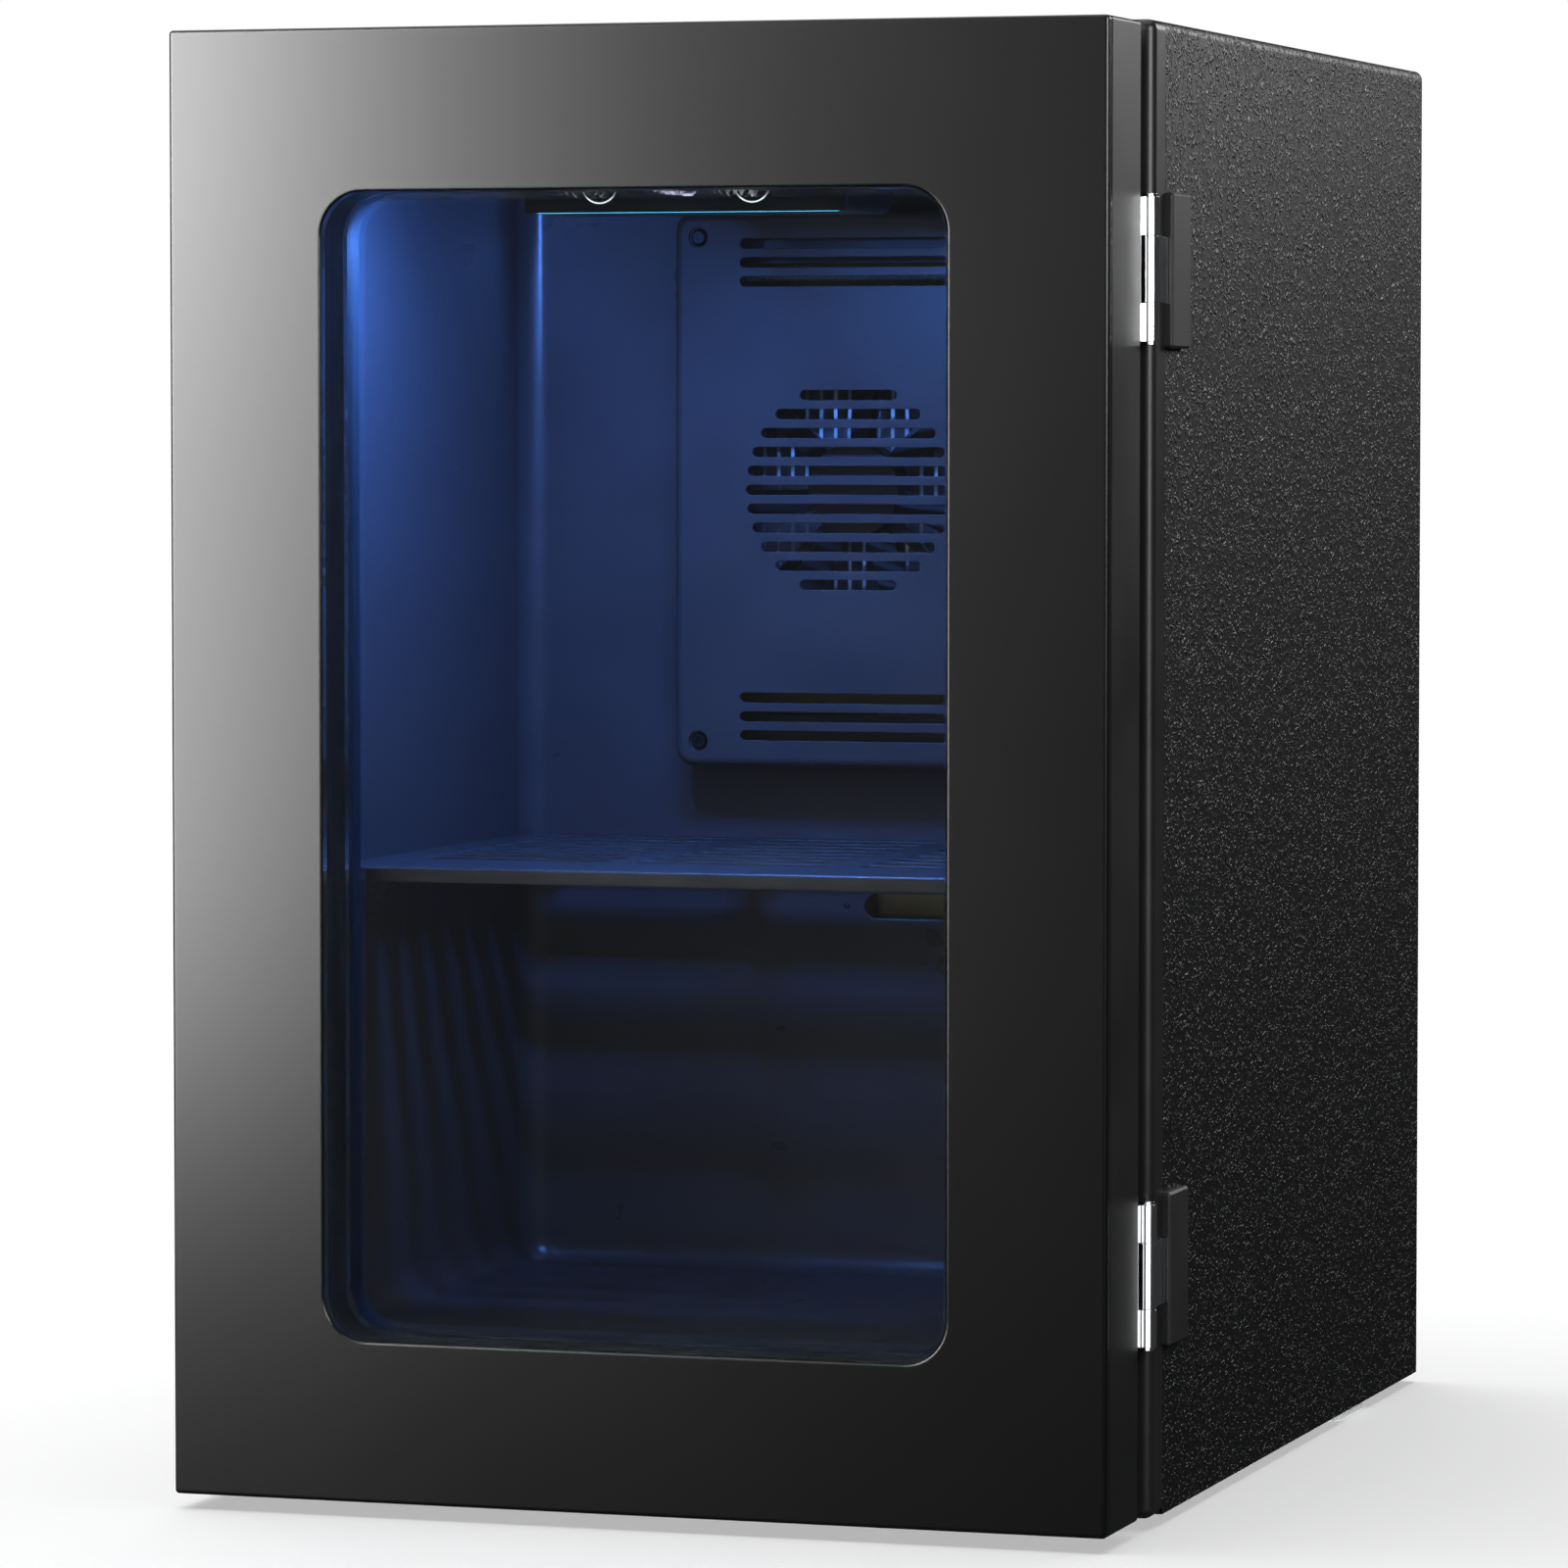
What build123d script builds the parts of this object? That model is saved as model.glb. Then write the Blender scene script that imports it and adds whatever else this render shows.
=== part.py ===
from build123d import *
import os

# Free-standing thermoelectric drinks fridge, in millimetres.
# X runs to the right, Y to the back and Z up. The origin is on the floor, under the middle of the fridge.

os.makedirs("parts", exist_ok=True)

# ---- Driving dimensions ----
# Cabinet
total_d = 389.5
cab_w = 288.4
cab_h = 434.2
cab_d = 344.0
foot_h = 3.4
skin_t = 1.0
corner_r = 3.0
frame_t = 3.0
frame_d = 12.0
frame_skirt_t = 2.5
frame_lip = 6.0
cover_t = 2.0
flange_w = 14.0
strike_w = 12.0
strike_t = 0.8

# Cold room
cavity_w = 230.0
cavity_h = 351.0
cavity_d = 186.5
cavity_floor = 49.5
cavity_r = 10.0
liner_t = 2.0
liner_flange = 4.0
foam_inset = 2.7
foam_back = 89.0
plate_t = 1.2
ledge_w = 6.0
ledge_t = 4.0
shelf_top = 188.6
shelf_t = 4.6
shelf_front_set = 9.5

# Door
door_w = 286.0
door_h = 432.0
door_t = 35.0
door_corner = 1.2
panel_t = 3.5
door_wall = 2.5
window_w = 191.0
window_h = 337.0
window_r = 13.0
pane_t = 5.0
pane_set = 0.4
spacer_t = 10.0
spacer_wall = 1.6
seal_t = 4.5
fit_gap = 0.2
gasket_w = 11.0
gasket_margin = 3.5

# Hinges
hinge_pitch = 290.3
barrel_r = 2.75
pin_r = 1.3
end_knuckle = 11.0
mid_knuckle = 19.0
knuckle_gap = 0.2
running_gap = 0.05
leaf_t = 1.3
hinge_cover_t = 2.6
hinge_cover_l = 21.0
hinge_cover_h = 45.0
hinge_screw_rise = 12.0
hinge_screw_r = 1.45

# Cooling unit
sink_z = 300.0
module_side = 40.0
module_t = 3.8
clamp_lane = 26.7
cold_fan_side = 80.0
cold_fan_d = 12.0
cold_fan_holes = 71.5
cold_hub_r = 15.0
hot_fan_side = 92.0
hot_fan_d = 25.0
hot_fan_holes = 82.5
hot_hub_r = 19.0

# ---- Places worked out from them ----
front_y = -total_d / 2
back_y = total_d / 2
door_back = front_y + door_t
cab_front = back_y - cab_d
base_z = foot_h
mid_z = base_z + cab_h / 2
cavity_mid_z = cavity_floor + cavity_h / 2
cavity_top = cavity_floor + cavity_h
cavity_back = cab_front + cavity_d
wrap_front = cab_front + frame_d
wrap_back = back_y - cover_t
liner_front = cab_front + frame_t
plate_back = foam_back + plate_t
hinge_x = cab_w / 2
hinge_y = (door_back + cab_front) / 2
hinge_zs = [mid_z - hinge_pitch / 2, mid_z + hinge_pitch / 2]
hinge_names = ["lower", "upper"]
hinge_cover_y = wrap_front - 1.0 + hinge_cover_l / 2
LOW_LEFT = (Align.MIN, Align.MIN)


def upright(y, x=0.0, z=0.0):
    """Upright plane facing the front: sketch x runs right, sketch y up, and extrude goes forwards."""
    return Plane(origin=(x, y, z), x_dir=(1, 0, 0), z_dir=(0, -1, 0))


def rearward(y, x=0.0, z=0.0):
    """Upright plane facing the back: sketch x runs left, sketch y up, and extrude goes backwards."""
    return Plane(origin=(x, y, z), x_dir=(-1, 0, 0), z_dir=(0, 1, 0))


def sideways(x, y=0.0, z=0.0):
    """Upright plane facing right: sketch x runs back, sketch y up, and extrude goes right."""
    return Plane(origin=(x, y, z), x_dir=(0, 1, 0), z_dir=(1, 0, 0))


def pan_screws(seats, shank_r, length, head_r, head_h):
    """Cross-head screws, one for each seat plane: the head stands out of it, the shank goes in."""
    with BuildPart() as screws:
        with Locations(*seats):
            Cone(head_r, 0.7 * head_r, head_h, align=(Align.CENTER, Align.CENTER, Align.MIN))
            Cylinder(shank_r, length, align=(Align.CENTER, Align.CENTER, Align.MAX))
            with Locations((0, 0, head_h)):
                Box(head_r, 0.25 * head_r, head_h, mode=Mode.SUBTRACT)
                Box(0.25 * head_r, head_r, head_h, mode=Mode.SUBTRACT)
    return screws


def flat_screws(seats, shank_r, length, head_r):
    """Countersunk screws, flush with their seat planes."""
    sink = head_r - shank_r
    with BuildPart() as screws:
        with Locations(*seats):
            Cone(shank_r, head_r, sink, align=(Align.CENTER, Align.CENTER, Align.MAX))
            Cylinder(shank_r, length, align=(Align.CENTER, Align.CENTER, Align.MAX))
            Box(head_r, 0.3 * head_r, 0.6 * sink, mode=Mode.SUBTRACT)
            Box(0.3 * head_r, head_r, 0.6 * sink, mode=Mode.SUBTRACT)
    return screws


# ==== Cabinet shell ====

# Seats of the screws that hold the rear cover to the flanges behind it
flange_mid = skin_t + flange_w / 2
cover_seats = []
for screw_z in (mid_z - 190, mid_z - 64, mid_z + 64, mid_z + 190):
    for side in (-1, 1):
        cover_seats.append(rearward(back_y, side * (cab_w / 2 - flange_mid), screw_z))
for screw_z in (base_z + flange_mid, base_z + cab_h - flange_mid):
    cover_seats.append(rearward(back_y, 0, screw_z))

# Moulded frame round the front edge, with a lip that goes inside the skin
lip_set = skin_t + fit_gap
with BuildPart() as front_frame:
    with BuildSketch(upright(liner_front)):
        with Locations((0, mid_z)):
            Rectangle(cab_w, cab_h)
        with Locations((0, cavity_mid_z)):
            RectangleRounded(cavity_w, cavity_h, cavity_r, mode=Mode.SUBTRACT)
    extrude(amount=frame_t)
    with BuildSketch(upright(wrap_front, z=mid_z)):
        Rectangle(cab_w, cab_h)
        Rectangle(cab_w - 2 * frame_skirt_t, cab_h - 2 * frame_skirt_t, mode=Mode.SUBTRACT)
    extrude(amount=frame_d - frame_t)
    corners = front_frame.edges().filter_by(Axis.Y).filter_by(lambda e: abs(e.center().X) > hinge_x - 0.1)
    rim = front_frame.faces().sort_by(Axis.Y)[0].outer_wire().edges()
    fillet(corners + rim, radius=corner_r)
    fillet(front_frame.faces().sort_by(Axis.Y)[0].inner_wires()[0].edges(), radius=0.8)
    with BuildSketch(upright(wrap_front + frame_lip, z=mid_z)):
        RectangleRounded(cab_w - 2 * lip_set, cab_h - 2 * lip_set, corner_r - skin_t)
        Rectangle(cab_w - 2 * frame_skirt_t, cab_h - 2 * frame_skirt_t, mode=Mode.SUBTRACT)
    extrude(amount=frame_lip + 1.0)
front_frame.part.label = "front_frame"
export_step(front_frame.part, "parts/front_frame.step")

# Skin: one embossed sheet bent over both sides and the top, with flanges turned in at the back
side_x = (cab_w - skin_t) / 2
skin_top = cab_h - skin_t / 2
cabinet_screw_seats = []
for hinge_z in hinge_zs:
    for rise in (-hinge_screw_rise, hinge_screw_rise):
        cabinet_screw_seats.append(sideways(hinge_x + leaf_t, hinge_cover_y, hinge_z + rise))
with BuildPart() as outer_wrap:
    with BuildSketch(upright(wrap_back, z=base_z)):
        with BuildLine():
            FilletPolyline(
                (-side_x, 0), (-side_x, skin_top), (side_x, skin_top), (side_x, 0),
                radius=corner_r - skin_t / 2,
            )
        trace(line_width=skin_t)
    extrude(amount=wrap_back - wrap_front)
    with BuildSketch(upright(wrap_back, z=base_z)):
        with Locations((0, cab_h - flange_mid)):
            Rectangle(cab_w - 2 * corner_r, flange_w)
        with Locations((cab_w / 2 - flange_mid, cab_h / 2), (flange_mid - cab_w / 2, cab_h / 2)):
            Rectangle(flange_w, cab_h - 2 * corner_r)
    extrude(amount=skin_t)
    with Locations(*cover_seats, *cabinet_screw_seats):
        Hole(radius=1.9, depth=2 * cover_t)
outer_wrap.part.label = "outer_wrap"
export_step(outer_wrap.part, "parts/outer_wrap.step")

# Bottom sheet: a shallow tray that stands between the sides of the skin
base_w = cab_w - 2 * skin_t
with BuildPart() as base_panel:
    with BuildSketch(Plane.XY.offset(base_z)):
        with Locations((0, wrap_front)):
            Rectangle(base_w, wrap_back - wrap_front, align=(Align.CENTER, Align.MIN))
    extrude(amount=skin_t)
    with BuildSketch(Plane.XY.offset(base_z)):
        with Locations((0, wrap_back)):
            Rectangle(base_w - 2 * flange_w - 2, skin_t, align=(Align.CENTER, Align.MAX))
        for side in (-1, 1):
            with Locations((side * (base_w - skin_t) / 2, wrap_front + frame_lip + 2)):
                Rectangle(skin_t, wrap_back - wrap_front - frame_lip - 6, align=(Align.CENTER, Align.MIN))
    extrude(amount=flange_w)
    with Locations(*cover_seats):
        Hole(radius=1.9, depth=2 * cover_t)
base_panel.part.label = "base_panel"
export_step(base_panel.part, "parts/base_panel.step")

# Rear cover: flat sheet with a fan grille, vent slots, and cut-outs for the inlet and the switch
grille_r = 42.0
grille_step = 6.8
slot_h = 3.4
inlet_x = 92.0
switch_x = 58.0
inlet_z = 50.0
inlet_cut = (20.0, 13.0)
switch_cut = (13.0, 19.0)
with BuildPart() as rear_cover:
    with BuildSketch(rearward(wrap_back, z=mid_z)):
        RectangleRounded(cab_w - 0.6, cab_h - 0.6, corner_r)
    extrude(amount=cover_t)
    fillet(rear_cover.faces().sort_by(Axis.Y)[-1].edges(), radius=0.8)
    with BuildSketch(rearward(back_y, z=sink_z)):
        for ring in range(6):
            Circle(grille_r - ring * grille_step)
            Circle(grille_r - ring * grille_step - slot_h, mode=Mode.SUBTRACT)
        Rectangle(2 * grille_r, 4, rotation=45, mode=Mode.SUBTRACT)
        Rectangle(2 * grille_r, 4, rotation=-45, mode=Mode.SUBTRACT)
    extrude(amount=-cover_t, mode=Mode.SUBTRACT)
    with BuildSketch(rearward(back_y)):
        for side in (-1, 1):
            for row in range(14):
                with Locations((side * 90, sink_z + (row - 6.5) * 8)):
                    SlotOverall(42, slot_h)
        for column in (-1, 0, 1):
            for row in range(8):
                with Locations((column * 60, 122 + row * 8)):
                    SlotOverall(48, slot_h)
            for row in range(3):
                with Locations((column * 60, 382 + row * 8)):
                    SlotOverall(48, slot_h)
        with Locations((-inlet_x, inlet_z)):
            Rectangle(*inlet_cut)
        with Locations((-switch_x, inlet_z)):
            Rectangle(*switch_cut)
    extrude(amount=-cover_t, mode=Mode.SUBTRACT)
    with Locations(*cover_seats):
        Hole(radius=2.1, depth=cover_t)
rear_cover.part.label = "rear_cover"
export_step(rear_cover.part, "parts/rear_cover.step")

rear_cover_screws = pan_screws(cover_seats, 1.8, 9, 3.6, 1.6)
rear_cover_screws.part.label = "rear_cover_screws"
export_step(rear_cover_screws.part, "parts/rear_cover_screws.step")

# Soft grey feet stuck under the bottom sheet
foot_l = 37.0
foot_w = 16.0
foot_places = {
    "foot_front_left": (-118, -118),
    "foot_front_right": (118, -118),
    "foot_rear_left": (-134, 110),
    "foot_rear_right": (134, 110),
}
for foot_name, (foot_x, foot_y) in foot_places.items():
    with BuildPart() as foot:
        with BuildSketch():
            with Locations((foot_x, foot_y)):
                RectangleRounded(foot_w, foot_l, 5)
        extrude(amount=foot_h)
        fillet(foot.faces().sort_by(Axis.Z)[0].edges(), radius=0.8)
    foot.part.label = foot_name
    export_step(foot.part, f"parts/{foot_name}.step")

# Steel ring behind the front frame, which the door's magnets pull on
strike_in = 5.5
with BuildPart() as strike_strip:
    with BuildSketch(upright(liner_front + strike_t, z=cavity_mid_z)):
        RectangleRounded(
            cavity_w + 2 * (strike_in + strike_w), cavity_h + 2 * (strike_in + strike_w), cavity_r
        )
        RectangleRounded(
            cavity_w + 2 * strike_in, cavity_h + 2 * strike_in, cavity_r, mode=Mode.SUBTRACT
        )
    extrude(amount=strike_t)
strike_strip.part.label = "strike_strip"
export_step(strike_strip.part, "parts/strike_strip.step")

# ==== Cold room ====

# Opening in the back wall for the cold sink, and the slot through which air goes back to it
chamber_w = 102.0
chamber_h = 144.0
air_slot_w = 60.0
air_slot_h = 8.4
air_slot_z = 167.0
sensor_x = -6.0
duct_screw_x = 50.0
duct_screw_rise = 80.0
duct_d = 18.0
duct_seats = []
for rise in (-duct_screw_rise, duct_screw_rise):
    for side in (-1, 1):
        duct_seats.append(upright(cavity_back - duct_d, side * duct_screw_x, sink_z + rise))


def liner_block():
    """The outer form of the liner, as a solid block."""
    with BuildPart() as block:
        with BuildSketch(upright(cavity_back + liner_t, z=cavity_mid_z)):
            RectangleRounded(cavity_w + 2 * liner_t, cavity_h + 2 * liner_t, cavity_r + liner_t)
        extrude(amount=cavity_back + liner_t - liner_front)
        fillet(block.faces().sort_by(Axis.Y)[-1].edges(), radius=cavity_r)
    return block.part


with BuildPart() as inner_liner:
    add(liner_block())
    offset(amount=-liner_t, openings=inner_liner.faces().sort_by(Axis.Y)[0])
    with BuildSketch(upright(liner_front + liner_t, z=cavity_mid_z)):
        RectangleRounded(cavity_w + 2 * liner_flange, cavity_h + 2 * liner_flange, cavity_r + liner_flange)
        RectangleRounded(cavity_w, cavity_h, cavity_r, mode=Mode.SUBTRACT)
    extrude(amount=liner_t)
    for side in (-1, 1):
        with BuildSketch(sideways(side * (cavity_w - ledge_w) / 2)):
            with Locations((cab_front + 8, shelf_top - shelf_t - ledge_t)):
                Rectangle(cavity_d - 20, ledge_t, align=LOW_LEFT)
        extrude(amount=ledge_w / 2 + 0.5 * liner_t, both=True)
    with BuildSketch(upright(cavity_back - 1)):
        with Locations((0, sink_z)):
            RectangleRounded(chamber_w, chamber_h, 4)
        with Locations((air_slot_w / 2, air_slot_z)):
            SlotOverall(air_slot_w, air_slot_h)
        with Locations((sensor_x, air_slot_z)):
            Circle(1)
    extrude(amount=-2 * liner_t, mode=Mode.SUBTRACT)
    with Locations(*duct_seats):
        Hole(radius=1.6, depth=duct_d + 2 * liner_t)
inner_liner.part.label = "inner_liner"
export_step(inner_liner.part, "parts/inner_liner.step")

# Rigid foam between the liner and the skin, with the cold chamber and its return channel moulded in
cold_base_back = 59.0
foam_front = liner_front + liner_t
clamp_seats = []
for rise in (-clamp_lane, clamp_lane):
    for side in (-1, 1):
        clamp_seats.append(rearward(plate_back + 6.0, side * clamp_lane, sink_z + rise))
with BuildPart() as insulation_foam:
    with BuildSketch(upright(foam_back, z=mid_z)):
        Rectangle(cab_w - 2 * foam_inset, cab_h - 2 * foam_inset)
    extrude(amount=foam_back - foam_front)
    add(liner_block(), mode=Mode.SUBTRACT)
    with BuildSketch(upright(cavity_back)):
        with Locations((0, sink_z)):
            Rectangle(chamber_w, chamber_h)
    extrude(amount=cavity_back - cold_base_back, mode=Mode.SUBTRACT)
    with BuildSketch(upright(cavity_back)):
        with Locations((air_slot_w / 2, air_slot_z - air_slot_h / 2)):
            Rectangle(
                air_slot_w, sink_z - air_slot_z, align=(Align.CENTER, Align.MIN)
            )
        with Locations((sensor_x, air_slot_z)):
            Circle(2.5)
    extrude(amount=-14, mode=Mode.SUBTRACT)
    with BuildSketch(upright(foam_back, z=sink_z)):
        Rectangle(module_side + 1, module_side + 1)
    extrude(amount=foam_back - cold_base_back, mode=Mode.SUBTRACT)
    with Locations(*clamp_seats):
        Hole(radius=2.6, depth=50)
    with Locations(*duct_seats):
        Hole(radius=1.6, depth=duct_d + 16)
insulation_foam.part.label = "insulation_foam"
export_step(insulation_foam.part, "parts/insulation_foam.step")

# Sheet that closes the foam at the back and carries the hot sink and the electronics
cable_hole = (100.0, 200.0)
with BuildPart() as foam_back_plate:
    with BuildSketch(upright(plate_back)):
        with Locations((0, mid_z)):
            Rectangle(cab_w - 2 * foam_inset - 2, cab_h - 2 * foam_inset - 22)
        with Locations((0, sink_z)):
            Rectangle(module_side + 8, module_side + 8, mode=Mode.SUBTRACT)
        with Locations(cable_hole):
            Circle(6, mode=Mode.SUBTRACT)
    extrude(amount=plate_t)
    with Locations(*clamp_seats):
        Hole(radius=2.6, depth=12)
foam_back_plate.part.label = "foam_back_plate"
export_step(foam_back_plate.part, "parts/foam_back_plate.step")

# Raised cover over the cold sink and its fan, with an intake in the middle and outlets above and below
duct_w = 116.0
duct_h = 176.0
intake_r = 34.0
intake_step = 6.0
with BuildPart() as duct_cover:
    with BuildSketch(upright(cavity_back, z=sink_z)):
        RectangleRounded(duct_w, duct_h, 6)
    extrude(amount=duct_d)
    fillet(duct_cover.faces().sort_by(Axis.Y)[0].edges(), radius=3)
    with BuildSketch(upright(cavity_back, z=sink_z)):
        RectangleRounded(duct_w - 2 * liner_t, duct_h - 2 * liner_t, 4)
    extrude(amount=duct_d - liner_t, mode=Mode.SUBTRACT)
    with BuildSketch(upright(cavity_back)):
        with Locations([(seat.origin.X, seat.origin.Z) for seat in duct_seats]):
            Circle(4)
    extrude(amount=duct_d - 1)
    with BuildSketch(upright(cavity_back - duct_d, z=sink_z)):
        for row in range(-5, 6):
            slot_half = (intake_r**2 - (row * intake_step) ** 2) ** 0.5
            with Locations((0, row * intake_step)):
                SlotOverall(2 * slot_half, 3.2)
        for rise in (-78, -72, -66, 66, 72, 78):
            with Locations((0, rise)):
                SlotOverall(72, 3.2)
    extrude(amount=-2 * liner_t, mode=Mode.SUBTRACT)
    with Locations(*duct_seats):
        CounterBoreHole(radius=1.6, counter_bore_radius=3.2, counter_bore_depth=1.8)
duct_cover.part.label = "duct_cover"
export_step(duct_cover.part, "parts/duct_cover.step")

duct_cover_screws = pan_screws([seat.offset(-1.8) for seat in duct_seats], 1.5, 28, 2.8, 1.4)
duct_cover_screws.part.label = "duct_cover_screws"
export_step(duct_cover_screws.part, "parts/duct_cover_screws.step")

# Temperature sensor: a resin bead on a stub that looks out of the small hole in the back wall
with BuildPart() as temperature_sensor:
    with BuildSketch(upright(cavity_back + liner_t + 9, sensor_x, air_slot_z)):
        Circle(2)
    extrude(amount=9)
    with BuildSketch(upright(cavity_back + liner_t, sensor_x, air_slot_z)):
        Circle(0.9)
    extrude(amount=liner_t)
    fillet(temperature_sensor.faces().sort_by(Axis.Y)[0].edges(), radius=0.6)
temperature_sensor.part.label = "temperature_sensor"
export_step(temperature_sensor.part, "parts/temperature_sensor.step")

# Shelf: solid front band, then rows of slots across
shelf_w = cavity_w - 1.0
shelf_front = cab_front + shelf_front_set
shelf_back = cavity_back - 1.0
shelf_band = 35.0
shelf_pitch = 17.0
with BuildPart() as shelf:
    with BuildSketch(Plane.XY.offset(shelf_top - shelf_t)):
        with Locations((0, (shelf_front + shelf_back) / 2)):
            RectangleRounded(shelf_w, shelf_back - shelf_front, cavity_r + 1)
        for row in range(8):
            row_y = shelf_front + shelf_band + (row + 0.5) * shelf_pitch
            with Locations((-70, row_y), (0, row_y), (70, row_y)):
                SlotOverall(62, 9, mode=Mode.SUBTRACT)
    extrude(amount=shelf_t)
    fillet(shelf.faces().sort_by(Axis.Z)[-1].outer_wire().edges(), radius=1)
    fillet(shelf.faces().sort_by(Axis.Z)[0].outer_wire().edges(), radius=0.6)
shelf.part.label = "shelf"
export_step(shelf.part, "parts/shelf.step")

# ==== Control panel on the ceiling ====

panel_w = 100.0
panel_front = cab_front + 7.0
panel_d = 58.0
panel_low = cavity_top - 17.0
lens_t = 1.5
led_w = 94.0
led_h = 2.6
led_d = 4.0
with BuildPart() as control_panel_housing:
    with BuildSketch(sideways(-panel_w / 2)):
        with BuildLine():
            Polyline(
                (panel_front + lens_t, cavity_top),
                (panel_front + lens_t, panel_low),
                (panel_front + panel_d - 16, panel_low),
                (panel_front + panel_d, cavity_top),
                close=True,
            )
        make_face()
    extrude(amount=panel_w)
    fillet(control_panel_housing.edges().group_by(Axis.Z)[0].filter_by(Axis.Y), radius=2)
    with BuildSketch(Plane.XY.offset(cavity_top)):
        with Locations((0, panel_front + lens_t)):
            Rectangle(panel_w - 4, panel_d - 22, align=(Align.CENTER, Align.MIN))
    extrude(amount=-14.4, mode=Mode.SUBTRACT)
    with BuildSketch(upright(panel_front + lens_t + 6, z=panel_low)):
        with Locations((0, -0.1)):
            Rectangle(led_w, led_h + 0.1, align=(Align.CENTER, Align.MIN))
    extrude(amount=7, mode=Mode.SUBTRACT)
    with BuildSketch(Plane.XY.offset(cavity_top)):
        with Locations((panel_w / 2 + 4, panel_front + 20), (-panel_w / 2 - 4, panel_front + 20)):
            SlotOverall(20, 12)
            Circle(1.6, mode=Mode.SUBTRACT)
        with Locations((0, panel_front + 20)):
            Rectangle(panel_w - 4, 20, mode=Mode.SUBTRACT)
    extrude(amount=-2.5)
control_panel_housing.part.label = "control_panel_housing"
export_step(control_panel_housing.part, "parts/control_panel_housing.step")

# Glossy touch face, flush in front of the housing
with BuildPart() as control_panel_lens:
    with BuildSketch(upright(panel_front + lens_t, z=(panel_low + cavity_top) / 2)):
        RectangleRounded(panel_w, cavity_top - panel_low, 1)
    extrude(amount=lens_t)
    chamfer(control_panel_lens.faces().sort_by(Axis.Y)[0].edges(), 0.3)
control_panel_lens.part.label = "control_panel_lens"
export_step(control_panel_lens.part, "parts/control_panel_lens.step")

# Frosted light strip in the panel's lower front edge
with BuildPart() as led_diffuser:
    with BuildSketch(upright(panel_front + lens_t + led_d, z=panel_low)):
        Rectangle(led_w - 0.6, led_h - 0.3, align=(Align.CENTER, Align.MIN))
    extrude(amount=led_d)
    fillet(led_diffuser.edges().group_by(Axis.Z)[0].filter_by(Axis.X), radius=0.7)
led_diffuser.part.label = "led_diffuser"
export_step(led_diffuser.part, "parts/led_diffuser.step")

# Board behind the touch face: two-digit display, two key pads, a driver chip, and lamps along its foot
board_y = panel_front + lens_t + led_d + 0.8
board_h = 13.6
with BuildPart() as display_board:
    with BuildSketch(upright(board_y + 1.2, z=panel_low + 0.3)):
        Rectangle(led_w - 1, board_h, align=(Align.CENTER, Align.MIN))
    extrude(amount=1.2)
    with BuildSketch(upright(board_y, z=panel_low + 8.6)):
        Rectangle(20, 9)
    extrude(amount=3.6)
    with BuildSketch(upright(board_y, z=panel_low + 8.6)):
        with Locations((-25, 0), (25, 0)):
            Circle(4.6)
    extrude(amount=2)
    with BuildSketch(upright(board_y, z=panel_low + led_h / 2)):
        with GridLocations(11, 0, 8, 1):
            Rectangle(3.5, 1.6)
    extrude(amount=0.6)
    with BuildSketch(upright(board_y + 1.2, z=panel_low + 8.6)):
        Rectangle(10, 6)
    extrude(amount=-1.8)
display_board.part.label = "display_board"
export_step(display_board.part, "parts/display_board.step")

# ==== Cooling unit ====

# Cold sink: extruded plate and fins that stand in the cold chamber
cold_pitch = cold_fan_holes / 15
cold_fin_front = 36.5
with BuildPart() as cold_sink:
    with BuildSketch(upright(cold_base_back, z=sink_z)):
        Rectangle(98, 110)
    extrude(amount=5)
    with BuildSketch(upright(cold_base_back - 5, z=sink_z)):
        with GridLocations(cold_pitch, 0, 21, 1):
            Rectangle(1.2, 110)
    extrude(amount=cold_base_back - 5 - cold_fin_front)
    with Locations(*clamp_seats):
        Hole(radius=2, depth=plate_back + 6 - cold_base_back + 4)
cold_sink.part.label = "cold_sink"
export_step(cold_sink.part, "parts/cold_sink.step")

# Aluminium spacer block, the thermoelectric module behind it, and the foam rubber ring round the module
module_front = plate_back - module_t
with BuildPart() as cold_block:
    with BuildSketch(upright(module_front, z=sink_z)):
        Rectangle(module_side, module_side)
    extrude(amount=module_front - cold_base_back)
cold_block.part.label = "cold_block"
export_step(cold_block.part, "parts/cold_block.step")

with BuildPart() as thermoelectric_module:
    with BuildSketch(upright(plate_back, z=sink_z)):
        Rectangle(module_side, module_side)
    extrude(amount=module_t)
    with BuildSketch(upright(plate_back - 0.9, z=sink_z)):
        Rectangle(module_side, module_side)
        Rectangle(module_side - 2, module_side - 2, mode=Mode.SUBTRACT)
    extrude(amount=module_t - 1.8, mode=Mode.SUBTRACT)
thermoelectric_module.part.label = "thermoelectric_module"
export_step(thermoelectric_module.part, "parts/thermoelectric_module.step")

with BuildPart() as module_gasket:
    with BuildSketch(upright(plate_back, z=sink_z)):
        Rectangle(module_side + 7.6, module_side + 7.6)
        Rectangle(module_side + 0.4, module_side + 0.4, mode=Mode.SUBTRACT)
    extrude(amount=plate_t)
module_gasket.part.label = "module_gasket"
export_step(module_gasket.part, "parts/module_gasket.step")

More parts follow.
